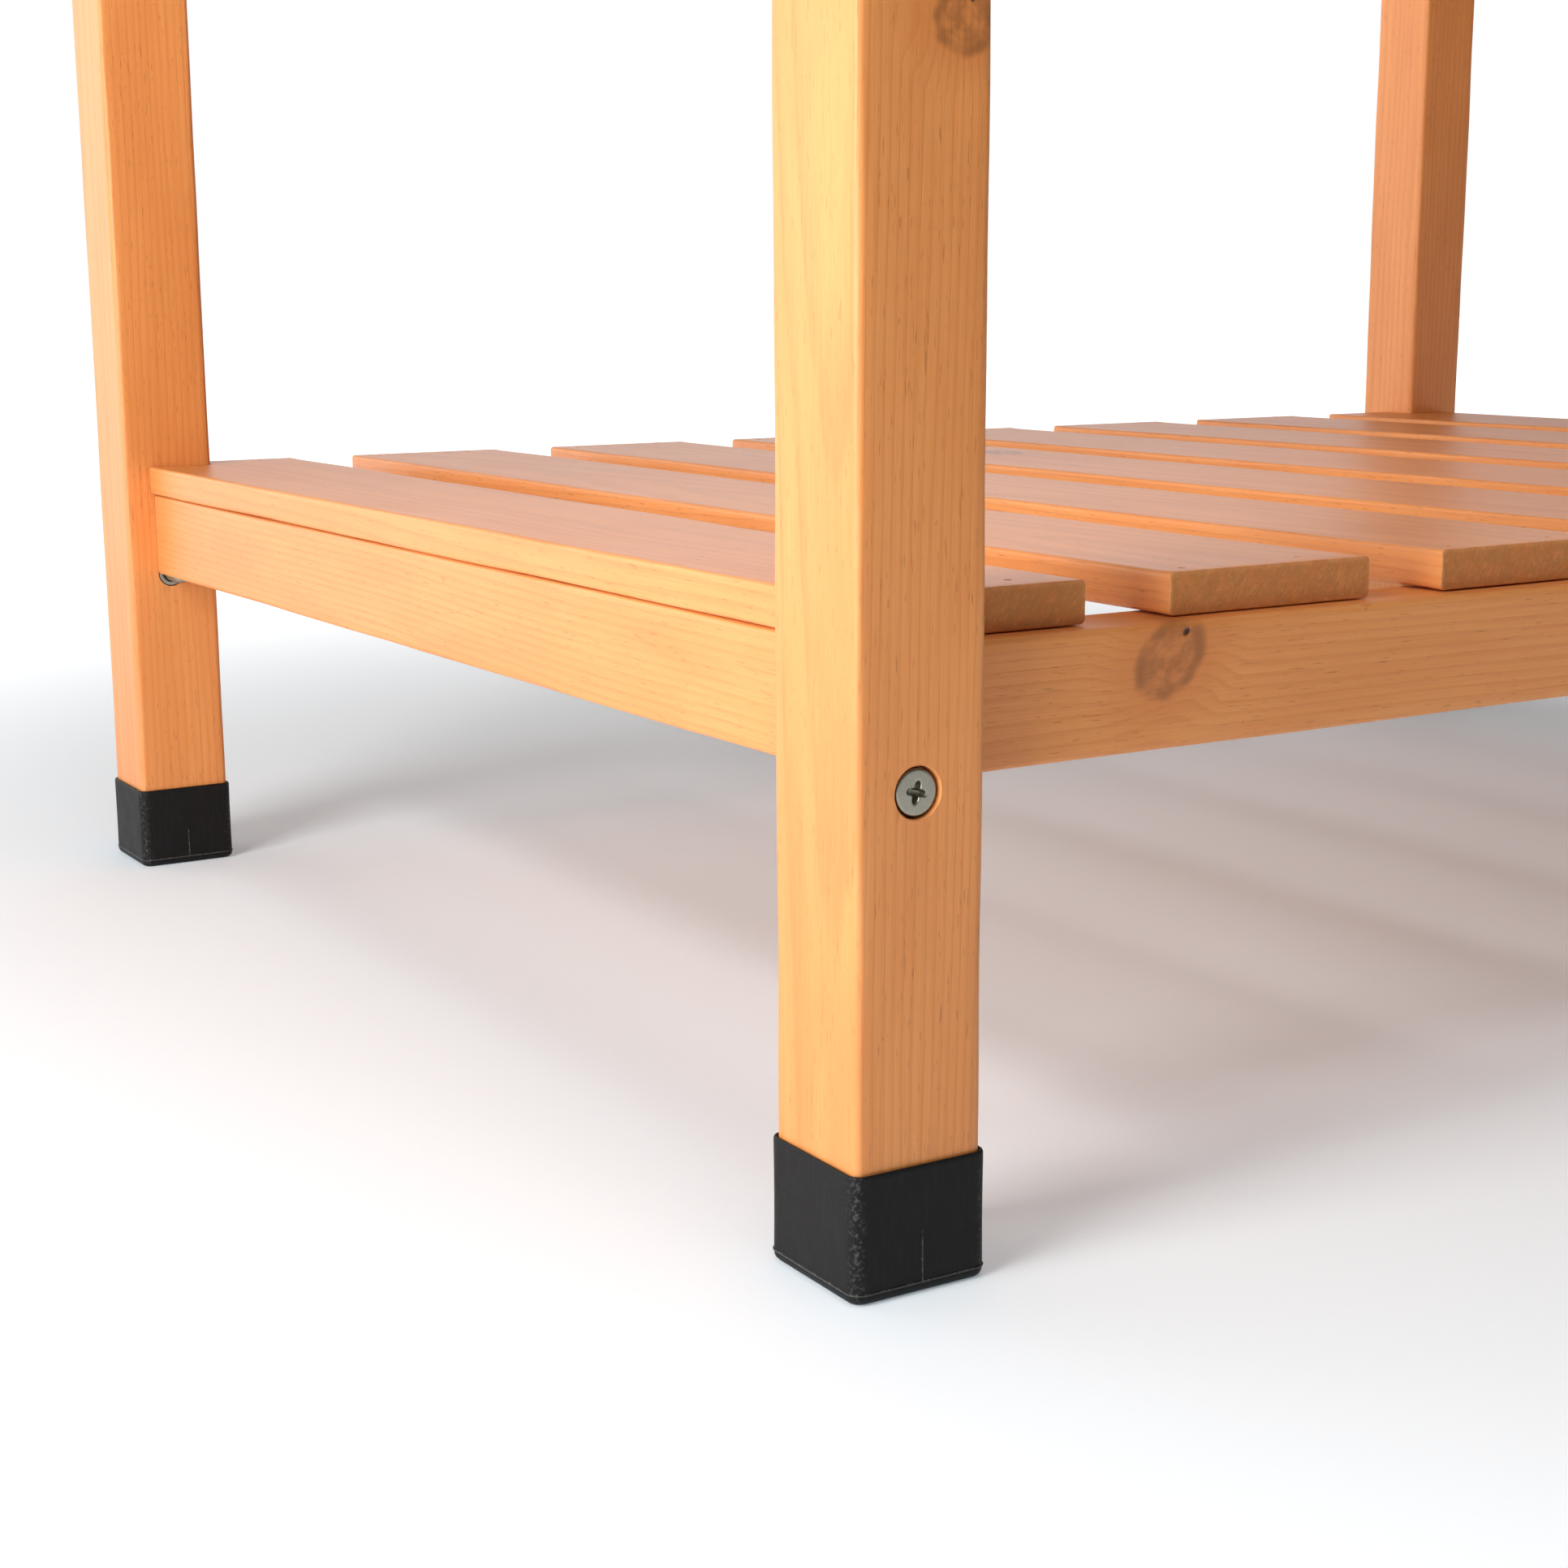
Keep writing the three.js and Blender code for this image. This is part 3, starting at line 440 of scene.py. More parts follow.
def birch_plywood():
    """Rotary-cut birch plywood: broad pale figure on the faces, and plies a millimetre thick, one dark and
    one pale, on the edges."""
    material, tree, shader = new_material("birch_plywood", Roughness=0.6)
    place = add(tree, "TexCoord").node.outputs["Object"]
    wave = add(tree, "VectorMath", (place, (6, 55, 40)), **TIMES)
    figure = add(tree, "TexNoise", {"Vector": wave, "Scale": 1.0, "Detail": 4.0, "Distortion": 0.6})
    fine = add(tree, "VectorMath", (place, (40, 1200, 1200)), **TIMES)
    fibre = add(tree, "TexNoise", {"Vector": fine, "Scale": 1.0, "Detail": 2.0})
    face = add(tree, "Mix", (figure, linear("#E9CFA4"), linear("#CFA873")), **RGBA)
    face = add(tree, "Mix", (add(tree, "Math", (fibre, 0.3), **TIMES), face, linear("#B98D58")), **RGBA)
    height = add(tree, "SeparateXYZ", (place,)).node.outputs["Z"]
    turns = add(tree, "Math", (height, TURN / (2 * MM)), **TIMES)
    ply = add(tree, "MapRange", (add(tree, "Math", (turns,), operation="SINE"), -0.3, 0.3))
    edge = add(tree, "Mix", (ply, linear("#9C6B3C"), linear("#DDBE8E")), **RGBA)
    normal = add(tree, "NewGeometry").node.outputs["Normal"]
    upright = add(tree, "Math", (add(tree, "SeparateXYZ", (normal,)).node.outputs["Z"],),
                  operation="ABSOLUTE")
    flat = add(tree, "MapRange", (upright, 0.3, 0.7))
    tree.links.new(add(tree, "Mix", (flat, edge, face), **RGBA), shader.inputs["Base Color"])
    bump = add(tree, "Bump", {"Height": fibre, "Strength": 0.4, "Distance": 0.1 * MM})
    tree.links.new(bump, shader.inputs["Normal"])
    return material


def moulded_polyethylene():
    """Black polyethylene, injection moulded: dull, with a fine leathery grain from the mould, cloudy paler
    rub marks on the faces, short grey scuffs along its upright corners and pale mould lines. The arris
    attribute is up to 1 where a corner is scuffed, and from 1 to 2 on a mould line."""
    material, tree, shader = new_material("black_polyethylene", Roughness=0.5, Specular_IOR_Level=0.2)
    place = add(tree, "TexCoord").node.outputs["Object"]
    wear_and_highlight = add(tree, "Attribute", attribute_name="arris").node.outputs["Fac"]
    clouds = add(tree, "TexNoise", {"Vector": place, "Scale": 1 / (9 * MM), "Detail": 5.0, "Roughness": 0.6})
    tall = add(tree, "VectorMath", (place, (1 / (1.2 * MM), 1 / (1.2 * MM), 1 / (7 * MM))), **TIMES)
    drags = add(tree, "TexNoise", {"Vector": tall, "Scale": 1.0, "Detail": 3.0})
    nicks = add(tree, "TexNoise", {"Vector": place, "Scale": 1 / (0.9 * MM), "Detail": 3.0})
    nick = add(tree, "MapRange", (nicks, 0.5, 0.72, 0, 0.5))
    base = linear("#0C0B0B")
    for share, tint in (
            (clouds, "#181717"),
            (add(tree, "MapRange", (drags, 0.5, 0.85, 0, 0.3)), "#2B2A2A"),
            (add(tree, "Math", (nick, wear_and_highlight), **TIMES), "#6A6866"),
            (add(tree, "MapRange", (wear_and_highlight, 1, 2, 0, 0.8)), "#5C5B5A")):
        base = add(tree, "Mix", (share, base, linear(tint)), **RGBA)
    tree.links.new(base, shader.inputs["Base Color"])
    tree.links.new(add(tree, "MapRange", (clouds, 0, 1, 0.42, 0.68)), shader.inputs["Roughness"])
    pebble = add(tree, "TexVoronoi", {"Vector": place, "Scale": 1 / (0.6 * MM)}, feature="SMOOTH_F1")
    bump = add(tree, "Bump", {"Height": pebble, "Strength": 0.35, "Distance": 0.08 * MM})
    tree.links.new(bump, shader.inputs["Normal"])
    return material


def zinc_plate():
    """Bright zinc plate on cold-headed steel: a satin grey with a faint yellow-green cast, cloudy where the
    plate is dull, and fine tool marks."""
    material, tree, shader = new_material("zinc_plated_steel", Metallic=1.0)
    place = add(tree, "TexCoord").node.outputs["Object"]
    clouds = add(tree, "TexNoise", {"Vector": place, "Scale": 1 / (3 * MM), "Detail": 4.0})
    fine = add(tree, "TexNoise", {"Vector": place, "Scale": 1 / (0.35 * MM), "Detail": 2.0})
    colour = add(tree, "Mix", (clouds, linear("#9C9C90"), linear("#B4AC9C")), **RGBA)
    marks = add(tree, "MapRange", (fine, 0.55, 0.8, 0, 0.35))
    colour = add(tree, "Mix", (marks, colour, linear("#6E6A62")), **RGBA)
    tree.links.new(colour, shader.inputs["Base Color"])
    tree.links.new(add(tree, "MapRange", (clouds, 0, 1, 0.26, 0.46)), shader.inputs["Roughness"])
    bump = add(tree, "Bump", {"Height": fine, "Strength": 0.3, "Distance": 0.04 * MM})
    tree.links.new(bump, shader.inputs["Normal"])
    return material


plywood_sheet = birch_plywood()
black_plastic = moulded_polyethylene()
zinc_steel = zinc_plate()


# ---------------------------------------------------------------- timber

AXES = {"x": (1, 2, 0), "y": (0, 2, 1), "z": (0, 1, 2)}  # across, across and along the grain

# Knots that show: the piece; the knot's middle in millimetres from the piece's own middle along x, y and z;
# how far it reaches across and along the grain in millimetres; and its tilt from the grain in degrees.
KNOTS = {
    "shelf_rail_front": ((-275, -12, 7), (8.5, 12), 35),
    "leg_front_left": ((10, -18, -111.5), (8, 7.5), 0),
    "leg_rear_left": ((-18, 4, 60), (6, 8), 10),
    "leg_rear_right": ((3, 18, -40), (6, 8), -8),
    "apron_left": ((-11, -120, 14), (9, 13), 15),
    "apron_rear": ((170, 11, -8), (11, 15), -12),
    "worktop_board_1": ((-210, 30, 9), (10, 14), 20),
    "worktop_board_3": ((120, -22, 9), (12, 17), -15),
    "top_shelf": ((240, -30, 9), (9, 13), 8),
    "back_board_upper": ((-90, -8, 8), (9, 12), 12),
    "drawer_face": ((205, -9, 12), (8, 11), -20),
    "shelf_slat_4": ((12, 120, 5.5), (8, 12), 10),
    "shelf_slat_7": ((-9, -40, 5.5), (7, 10), -14),
}
FAR_AWAY = 40.0  # knot sizes, for a piece without one

grain_seeds = itertools.count(1001)  # one for each piece of wood, in the order in which they are made


def show_grain(piece, name, grain, arris):
    """Writes what the wood reads from its piece: where the heart of the log lies, at a random place beside
    the piece and nearly along it; how far the knot is; which faces cut across the grain; and how near a
    point is to two faces at once, which is where the arrises are painted paler as a highlight."""
    rng = np.random.default_rng(next(grain_seeds))
    low, high = corners(name)
    across, through, along = AXES[grain]
    mesh = piece.data
    points = np.empty(len(mesh.vertices) * 3)
    mesh.vertices.foreach_get("co", points)
    points = points.reshape(-1, 3)
    own = points - (low + high) / 2
    bearing = rng.uniform(-0.5, 0.5) if name != "leg_front_left" else 0.1
    reach = rng.uniform(55, 130) * MM
    lean = rng.uniform(-0.018, 0.018, 2)
    if grain != "z":
        bearing += math.pi / 2
    heart = np.stack([
        own[:, across] + reach * math.cos(bearing) + lean[0] * own[:, along],
        own[:, through] + reach * math.sin(bearing) + lean[1] * own[:, along],
        own[:, along] + rng.uniform(0, 40)], axis=-1)
    attribute(piece, "grain", heart, "FLOAT_VECTOR")
    knot = np.full((len(points), 3), FAR_AWAY)
    if name in KNOTS:
        middle, (wide, long), tilt = KNOTS[name]
        inward = int(np.argmax(np.abs(middle) * (np.arange(3) != along) / (high - low)))
        beside = 3 - along - inward
        away = own - np.array(middle) * MM
        cos, sin = math.cos(math.radians(tilt)), math.sin(math.radians(tilt))
        knot = np.stack([(away[:, along] * cos + away[:, beside] * sin) / (long * MM),
                         (away[:, beside] * cos - away[:, along] * sin) / (wide * MM),
                         away[:, inward] / (3 * wide * MM)], axis=-1)
    attribute(piece, "knot", knot, "FLOAT_VECTOR")
    normals = np.empty(len(mesh.polygons) * 3)
    mesh.polygons.foreach_get("normal", normals)
    attribute(piece, "end_grain", normals.reshape(-1, 3)[:, along] ** 2, domain="FACE")
    near = np.sort(np.minimum(points - low, high - points), axis=1)
    attribute(piece, "arris", np.clip(1 - near[:, 1] / (1.1 * arris), 0, 1))


def timber(name, grain, arris, wood=None, slot="stained_fir", body="bench", tenoned=False, cutters=(),
           spacing=3.0, saw=0.0):
    """A bar of wood in the place of a part of the frame, cut where its neighbours go through it."""
    low, high = corners(name)
    across, through, along = AXES[grain]
    centre, half = (low + high) / 2, (high - low) / 2
    tenon = None
    length = 2 * half[along]
    if tenoned:
        length -= 2 * (TENON_LENGTH + SEAT)
        tenon = (TENON_LENGTH + SEAT, TENON_THICK / 2, half[through] - TENON_SHOULDER)
    shape = bar_points(length, half[across], half[through], arris * MM, spacing * MM, tenon, saw * MM,
                       seed=sum(map(ord, name)))
    points = np.empty(shape[0].shape + (3,))
    for axis, values in zip((across, through, along), shape):
        points[..., axis] = values + centre[axis]
    piece = placed(mesh_of(name + "_wood", points))
    if cutters:
        cut(piece, cutters)
    smooth(piece)
    show_grain(piece, name, grain, arris * MM)
    return stand_for(piece, wood or stained_fir, body, slot, name)


def mortise(bar_name, side):
    """The socket in a leg for a crossbar's tenon, larger by SEAT all round."""
    low, high = corners(bar_name)
    middle = (low[1] + high[1]) / 2
    end = high[0] if side > 0 else low[0]
    inner = end - side * (TENON_LENGTH + 2 * SEAT)
    xs = sorted([inner, end + side * SEAT])
    return block(np.array([xs[0], middle - TENON_THICK / 2 - SEAT, low[2] + TENON_SHOULDER - SEAT]),
                 np.array([xs[1], middle + TENON_THICK / 2 + SEAT, high[2] - TENON_SHOULDER + SEAT]))


def bolt_bore(corner, bolt, insert=False):
    """The hole through a leg for a bolt: a counterbore that sinks the head, with its mouth just broken, a
    clearance hole, and a wider end for a threaded insert."""
    inward = 1 if "front" in corner else -1
    low, high = corners(f"{bolt}_{corner}")
    leg_low, leg_high = corners(f"leg_{corner}")
    outer = leg_low[1] if inward > 0 else leg_high[1]
    head = low[1] if inward > 0 else high[1]
    steps = [(abs(head - outer) + HEAD_THICK + SEAT, COUNTERBORE), (LEG + MM, BOLT_HOLE)]
    if insert:
        steps = [steps[0], (LEG - SLEEVE - SEAT, BOLT_HOLE), (LEG + MM, NUT_HOLE)]
    start = (float(low[0] + high[0]) / 2, float(outer), float(low[2] + high[2]) / 2)
    end = (start[0], start[1] + inward * LEG, start[2])
    return bore(start, end, steps, flare=0.45 * MM)


def make_legs():
    """Four posts, bored for their bolts and mortised for the crossbars of their row."""
    for corner in CORNERS:
        side = 1 if "right" in corner else -1
        bars = FRONT_BARS if "front" in corner else REAR_BARS
        timber(f"leg_{corner}", "z", 2.0, cutters=[
            bolt_bore(corner, "shelf_bolt", insert=True), bolt_bore(corner, "apron_bolt"),
            *[mortise(bar_name, side) for bar_name in bars]])


def make_crossbars():
    """Bars between two legs, with a stub tenon at each end."""
    for name in FRONT_BARS + REAR_BARS:
        timber(name, "x", 1.5, tenoned=True)


def make_shelf():
    """End rails, grooved underneath for the bolts' tips, and eight slats nailed down over the rails. The
    saw's marks are left on the slats' ends, and the outer slats are notched round the legs."""
    nail_holes = []
    for side in SIDES:
        low, high = corners(f"shelf_end_rail_{side}")
        grooves = []
        for row in ("front", "rear"):
            bolt_low, bolt_high = corners(f"shelf_bolt_{row}_{side}")
            x, z = (bolt_low[0] + bolt_high[0]) / 2, (bolt_low[2] + bolt_high[2]) / 2
            start, inward = (low[1], 1) if row == "front" else (high[1], -1)
            grooves.append(bore((x, start, z), (x, start + inward, z), [(GROOVE, BOLT_HOLE)]))
        timber(f"shelf_end_rail_{side}", "y", 1.5, cutters=grooves)
    leg_faces = [corners(f"leg_{corner}") for corner in CORNERS]
    for name in SLATS:
        low, high = corners(name)
        cutters = []
        for corner in CORNERS:
            leg_low, leg_high = corners(f"leg_{corner}")
            if low[0] < leg_high[0] and high[0] > leg_low[0]:
                cutters.append(block(
                    np.array([*(leg_low[:2] - NOTCH_CLEAR), low[2] - MM]),
                    np.array([*(leg_high[:2] + NOTCH_CLEAR), high[2] + MM])))
        for rail in ("shelf_rail_front", "shelf_rail_rear"):
            rail_low, rail_high = corners(rail)
            y = (rail_low[1] + rail_high[1]) / 2 + 2 * MM * (1 if "front" in rail else -1)
            for share, skew in ((0.14, -0.6), (0.76, 2.4)):
                x = low[0] + (high[0] - low[0]) * share
                if any(near[0] - 4 * MM < x < far[0] + 4 * MM for near, far in leg_faces):
                    continue
                spot = (x, y + skew * MM, high[2])
                nail_holes.append(spot)
                cutters.append(bore(spot, (x, spot[1], 0), [(2.5 * MM, 0.85 * MM)], flare=0.35 * MM))
        timber(name, "y", 1.2, cutters=cutters, spacing=1.6, saw=0.22)
    return nail_holes


def make_upper_frame():
    """Aprons on bolts and barrel nuts, the drawer's runners, the worktop's boards and the top shelf."""
    for side in SIDES:
        low, high = corners(f"apron_{side}")
        cutters = []
        for row in ("front", "rear"):
            bolt_low, bolt_high = corners(f"apron_bolt_{row}_{side}")
            nut_low, nut_high = corners(f"barrel_nut_{row}_{side}")
            x, z = (bolt_low[0] + bolt_high[0]) / 2, (bolt_low[2] + bolt_high[2]) / 2
            start, inward = (low[1], 1) if row == "front" else (high[1], -1)
            tip = bolt_high[1] if row == "front" else bolt_low[1]
            reach = abs(tip - start) + SEAT
            nut_y = (nut_low[1] + nut_high[1]) / 2
            bolt_hole = turned("bore", [-MM, -MM, reach, reach], [0, BOLT_HOLE, BOLT_HOLE, 0],
                               (x, start, z), (0, inward, 0), SHANK_SIDES)
            inner, outward = (high[0], -1) if side == "left" else (low[0], 1)
            blind = abs(inner - (nut_low[0] if side == "left" else nut_high[0])) + SEAT
            nut_hole = turned("bore", [-MM, -MM, blind, blind], [0, NUT_HOLE, NUT_HOLE, 0],
                              (inner, nut_y, z), (outward, 0, 0))
            cutters += [bolt_hole, nut_hole]
        timber(f"apron_{side}", "y", 1.5, cutters=[joined_shapes(cutters)])
        timber(f"drawer_runner_{side}", "y", 1.5)
    for name in TOP_BOARDS:
        timber(name, "x", 2.0, saw=0.08)


def joined_shapes(meshes):
    """One closed shape from several that run into each other."""
    first = placed(meshes[0])
    for mesh in meshes[1:]:
        other = placed(mesh)
        modifier = first.modifiers.new("join", "BOOLEAN")
        modifier.object = other
        modifier.operation = "UNION"
        modifier.solver = "EXACT"
    whole = bpy.data.meshes.new_from_object(first.evaluated_get(bpy.context.evaluated_depsgraph_get()))
    for shape in [found for found in bpy.data.objects if found.data in meshes]:
        bpy.data.objects.remove(shape)
    return whole


def make_brackets():
    """Five-sided brackets under the top shelf: an outline with eased corners, swept across the thickness
    and stepped in at both faces by a quarter circle."""
    for side in SIDES:
        name = f"shelf_bracket_{side}"
        low, high = corners(name)
        nose = 22 * MM
        y0, y1, z0, z1 = low[1], high[1], low[2], high[2]
        turns = np.array([[y1, z1], [y0, z1], [y0, z1 - nose], [y1 - nose, z0], [y1, z0]])
        ease = 3 * MM
        sides_in = np.roll(turns, 1, axis=0) - turns
        sides_out = np.roll(turns, -1, axis=0) - turns
        start = turns + sides_in / np.linalg.norm(sides_in, axis=1)[:, None] * ease
        end = turns + sides_out / np.linalg.norm(sides_out, axis=1)[:, None] * ease
        share = np.linspace(0, 1, 7)[None, :, None]
        curve = (start[:, None] * (1 - share) ** 2 + turns[:, None] * 2 * share * (1 - share)
                 + end[:, None] * share ** 2)
        straight = np.linspace(0, 1, 20)[1:-1][None, :, None]
        runs = end[:, None] * (1 - straight) + np.roll(start, -1, axis=0)[:, None] * straight
        ring = np.concatenate([curve, runs], axis=1).reshape(-1, 2)
        middle = ring.mean(axis=0)
        arris = 1.5 * MM
        angle = np.linspace(0, math.pi / 2, 6)
        tangent = np.roll(ring, -1, axis=0) - np.roll(ring, 1, axis=0)
        normal = np.stack([tangent[:, 1], -tangent[:, 0]], axis=-1)
        normal /= np.linalg.norm(normal, axis=1)[:, None]
        if ((ring - middle) * normal).sum() > 0:
            normal = -normal
        part = np.linspace(0, 1, 8)[:-1, None, None]
        face = middle + (ring + normal * arris - middle) * part
        rows = np.concatenate([face, ring + normal * arris * (1 - np.sin(angle[:, None, None]))])
        deep = np.concatenate([np.zeros(len(face)), arris * (1 - np.cos(angle))])
        points = np.empty((2 * len(rows), len(ring), 3))
        points[..., 0] = np.concatenate([low[0] + deep, high[0] - deep[::-1]])[:, None]
        points[..., 1:] = np.concatenate([rows, rows[::-1]])
        piece = placed(mesh_of(name + "_wood", points))
        smooth(piece)
        show_grain(piece, name, "z", arris)
        stand_for(piece, stained_fir, "bench", "stained_fir", name)


def make_drawer():
    """A box on its runners: a stained face, bare sides and back, grooved for the bottom panel."""
    panel_low, panel_high = corners("drawer_bottom")
    back_high = corners("drawer_back")[1][1] + MM
    groove = (panel_low - SEAT, np.array([panel_high[0] + SEAT, back_high, panel_high[2] + SEAT]))
    low, high = corners("drawer_face")
    screw_low, screw_high = corners("knob_screw")
    x, z = (screw_low[0] + screw_high[0]) / 2, (screw_low[2] + screw_high[2]) / 2
    hole = bore((x, low[1], z), (x, high[1], z), [(high[1] - low[1] + MM, 2.3 * MM)])
    timber("drawer_face", "x", 1.5, body="drawer", cutters=[block(*groove), hole])
    for side in SIDES:
        timber(f"drawer_side_{side}", "y", 1.5, bare_pine, "plain_pine", "drawer", cutters=[block(*groove)])
    timber("drawer_back", "x", 1.5, bare_pine, "plain_pine", "drawer")
    timber("drawer_bottom", "x", 0.3, plywood_sheet, "plywood", "drawer", spacing=8.0)


make_legs()
make_crossbars()
nail_holes = make_shelf()
make_upper_frame()
make_brackets()
make_drawer()


# ---------------------------------------------------------------- hardware

def make_foot_caps():
    """Moulded cups: rounded squares carried up a profile of how far in and how high each row is, from the
    middle of the base, round the fillet, over the parting ridge and the rim, and down inside. A thin mould
    line stands up the middle of the front face, a narrow bell of a tenth of a millimetre."""
    for corner in CORNERS:
        low, high = corners(f"foot_cap_{corner}")
        centre, half = (low + high) / 2, (high[0] - low[0]) / 2
        tall = high[2] - low[2]
        turn = np.radians(np.linspace(90, 0, 8))[1:]
        base = np.linspace(half, 2.3 * MM, 7)
        inset = [*base, *(0.3 * MM + 2 * MM * (1 - np.sin(math.pi / 2 - turn)))]
        height = [*np.zeros(len(base)), *(2.2 * MM * (1 - np.cos(math.pi / 2 - turn)))]
        ridge = [(0.28, 2.5), (0.05, 2.72), (0.0, 2.9), (0.05, 3.08), (0.3, 3.35)]
        wall = [(0.3 + 0.08 * math.sin(share * math.pi), 4 + 26.5 * share) for share in np.linspace(0, 1, 9)]
        rim = [(0.3, 31.3), (0.42, 31.75), (0.62, 31.97), (0.85, 32.0), (1.02, 31.9), (1.15, 31.6)]
        inner = [(1.2, share) for share in np.linspace(30.5, 3.0, 5)]
        for row_inset, row_height in ridge + wall + rim + inner:
            inset.append(row_inset * MM)
            height.append(row_height / 32 * tall)
        floor = np.linspace(1.2 * MM, half, 6)[1:]
        inset, height = np.array([*inset, *floor]), np.array([*height, *np.full(len(floor), 3 * MM)])
        size = half - inset
        radius = np.minimum(np.clip(3.6 * MM - 0.6 * inset, 0.5 * MM, None), size)
        u, v = outline(size, size, radius, 1.2 * MM)
        z = np.repeat(height[:, None], u.shape[1], axis=1)
        flat = (size - radius)[:, None]
        share = u / np.maximum(flat, MM)
        u = np.where(np.abs(share) < 1, flat * share * (0.25 + 0.75 * share ** 2), u)
        fade = np.clip((18 * MM - z) / (6 * MM), 0, 1) * (z > 3.2 * MM) * (inset[:, None] < 0.5 * MM)
        v = v - 0.22 * MM * np.exp(-(u / (0.35 * MM)) ** 2) * (v < 0) * fade
        points = np.stack([u + centre[0], v + centre[1], z + low[2]], axis=-1)
        piece = placed(mesh_of(f"foot_cap_{corner}_moulding", points))
        smooth(piece)
        points = np.empty(len(piece.data.vertices) * 3)
        piece.data.vertices.foreach_get("co", points)
        u, v, z = (points.reshape(-1, 3) - [*centre[:2], low[2]]).T
        wear_and_highlight = np.clip((np.minimum(np.abs(u), np.abs(v)) - half + 4 * MM) / (2.5 * MM), 0, 1)
        parting = np.exp(-((z - 2.9 * MM) / (0.12 * MM)) ** 2)
        upright = np.exp(-(u / (0.2 * MM)) ** 2) * (v < 0) * (z > 3.2 * MM) * np.clip(3 - z / (6 * MM), 0, 1)
        on_line = (parting > 0.1) | (upright > 0.1)
        attribute(piece, "arris", np.where(on_line, 1 + np.maximum(parting, 0.8 * upright), wear_and_highlight))
        stand_for(piece, black_plastic, "bench", "black_plastic", f"foot_cap_{corner}")


def screw_thread(start, end, pitch, depth):
    """The ripple of a rolled thread: a triangle wave of the distance along less the turn, between two
    distances."""
    def ripple(along, angle):
        wave = np.abs((along / pitch - angle / TURN) % 1 - 0.5) * 2
        return -depth * wave * ((along > start) & (along < end))
    return ripple


def make_bolts():
    """Flat-headed furniture bolts with a cross recess. Inside the recess each row is a four-lobed curve, its
    radius a steady part plus a part that swings four times a turn, sinking to a dished floor; outside it the
    rows pass from that curve to the head's round edge, then down the shank and its rolled thread."""
    columns = 96
    for corner in CORNERS:
        inward = 1 if "front" in corner else -1
        for bolt in ("shelf_bolt", "apron_bolt"):
            low, high = corners(f"{bolt}_{corner}")
            length = high[1] - low[1]
            face = low[1] if inward > 0 else high[1]
            x, z = (low[0] + high[0]) / 2, (low[2] + high[2]) / 2
            angle = np.linspace(0, TURN, columns, endpoint=False)
            swing = 0.5 + 0.5 * np.cos(4 * (angle - math.radians(76)))
            lobed = (1.3 + 1.45 * swing ** 0.8) * MM
            rows, depth = [], []
            for share, sunk in ((0, 2.9), (0.3, 2.8), (0.55, 2.6), (0.75, 2.3), (0.86, 1.8), (0.93, 1.0),
                                (0.97, 0.35), (1.02, 0.08), (1.1, 0.0)):
                rows.append(lobed * share)
                depth.append(sunk * MM)
            for share in np.linspace(0.2, 1, 5):
                rows.append(lobed * 1.1 * (1 - share) + 5.05 * MM * share)
                depth.append(0.03 * MM * share)
            for radius, sunk in ((5.25, 0.06), (5.42, 0.14), (5.54, 0.26), (5.6, 0.42), (5.6, 2.9), (5.5, 3.3),
                                 (5.3, 3.4), (3.25, 3.4), (3.0, 3.65)):
                rows.append(np.full(columns, radius * MM))
                depth.append(sunk * MM)
            thread = screw_thread(length - 22 * MM, length - 1.2 * MM, 1.0 * MM, 0.34 * MM)
            for along in np.arange(4.2 * MM, length - 1.0 * MM, 0.25 * MM):
                rows.append(3.0 * MM + thread(along, angle))
                depth.append(along)
            for radius, back in ((2.6, 0.7), (2.1, 0.15), (1.7, 0.0), (0.0, 0.0)):
                rows.append(np.full(columns, radius * MM))
                depth.append(length - back * MM)
            rows, depth = np.array(rows), np.array(depth)[:, None]
            points = np.stack([x + rows * np.cos(angle), face + inward * depth + 0 * rows,
                               z + rows * np.sin(angle)], axis=-1)
            piece = placed(mesh_of(f"{bolt}_{corner}_steel", points))
            smooth(piece, 40)
            stand_for(piece, zinc_steel, "bench", "zinc_steel", f"{bolt}_{corner}")


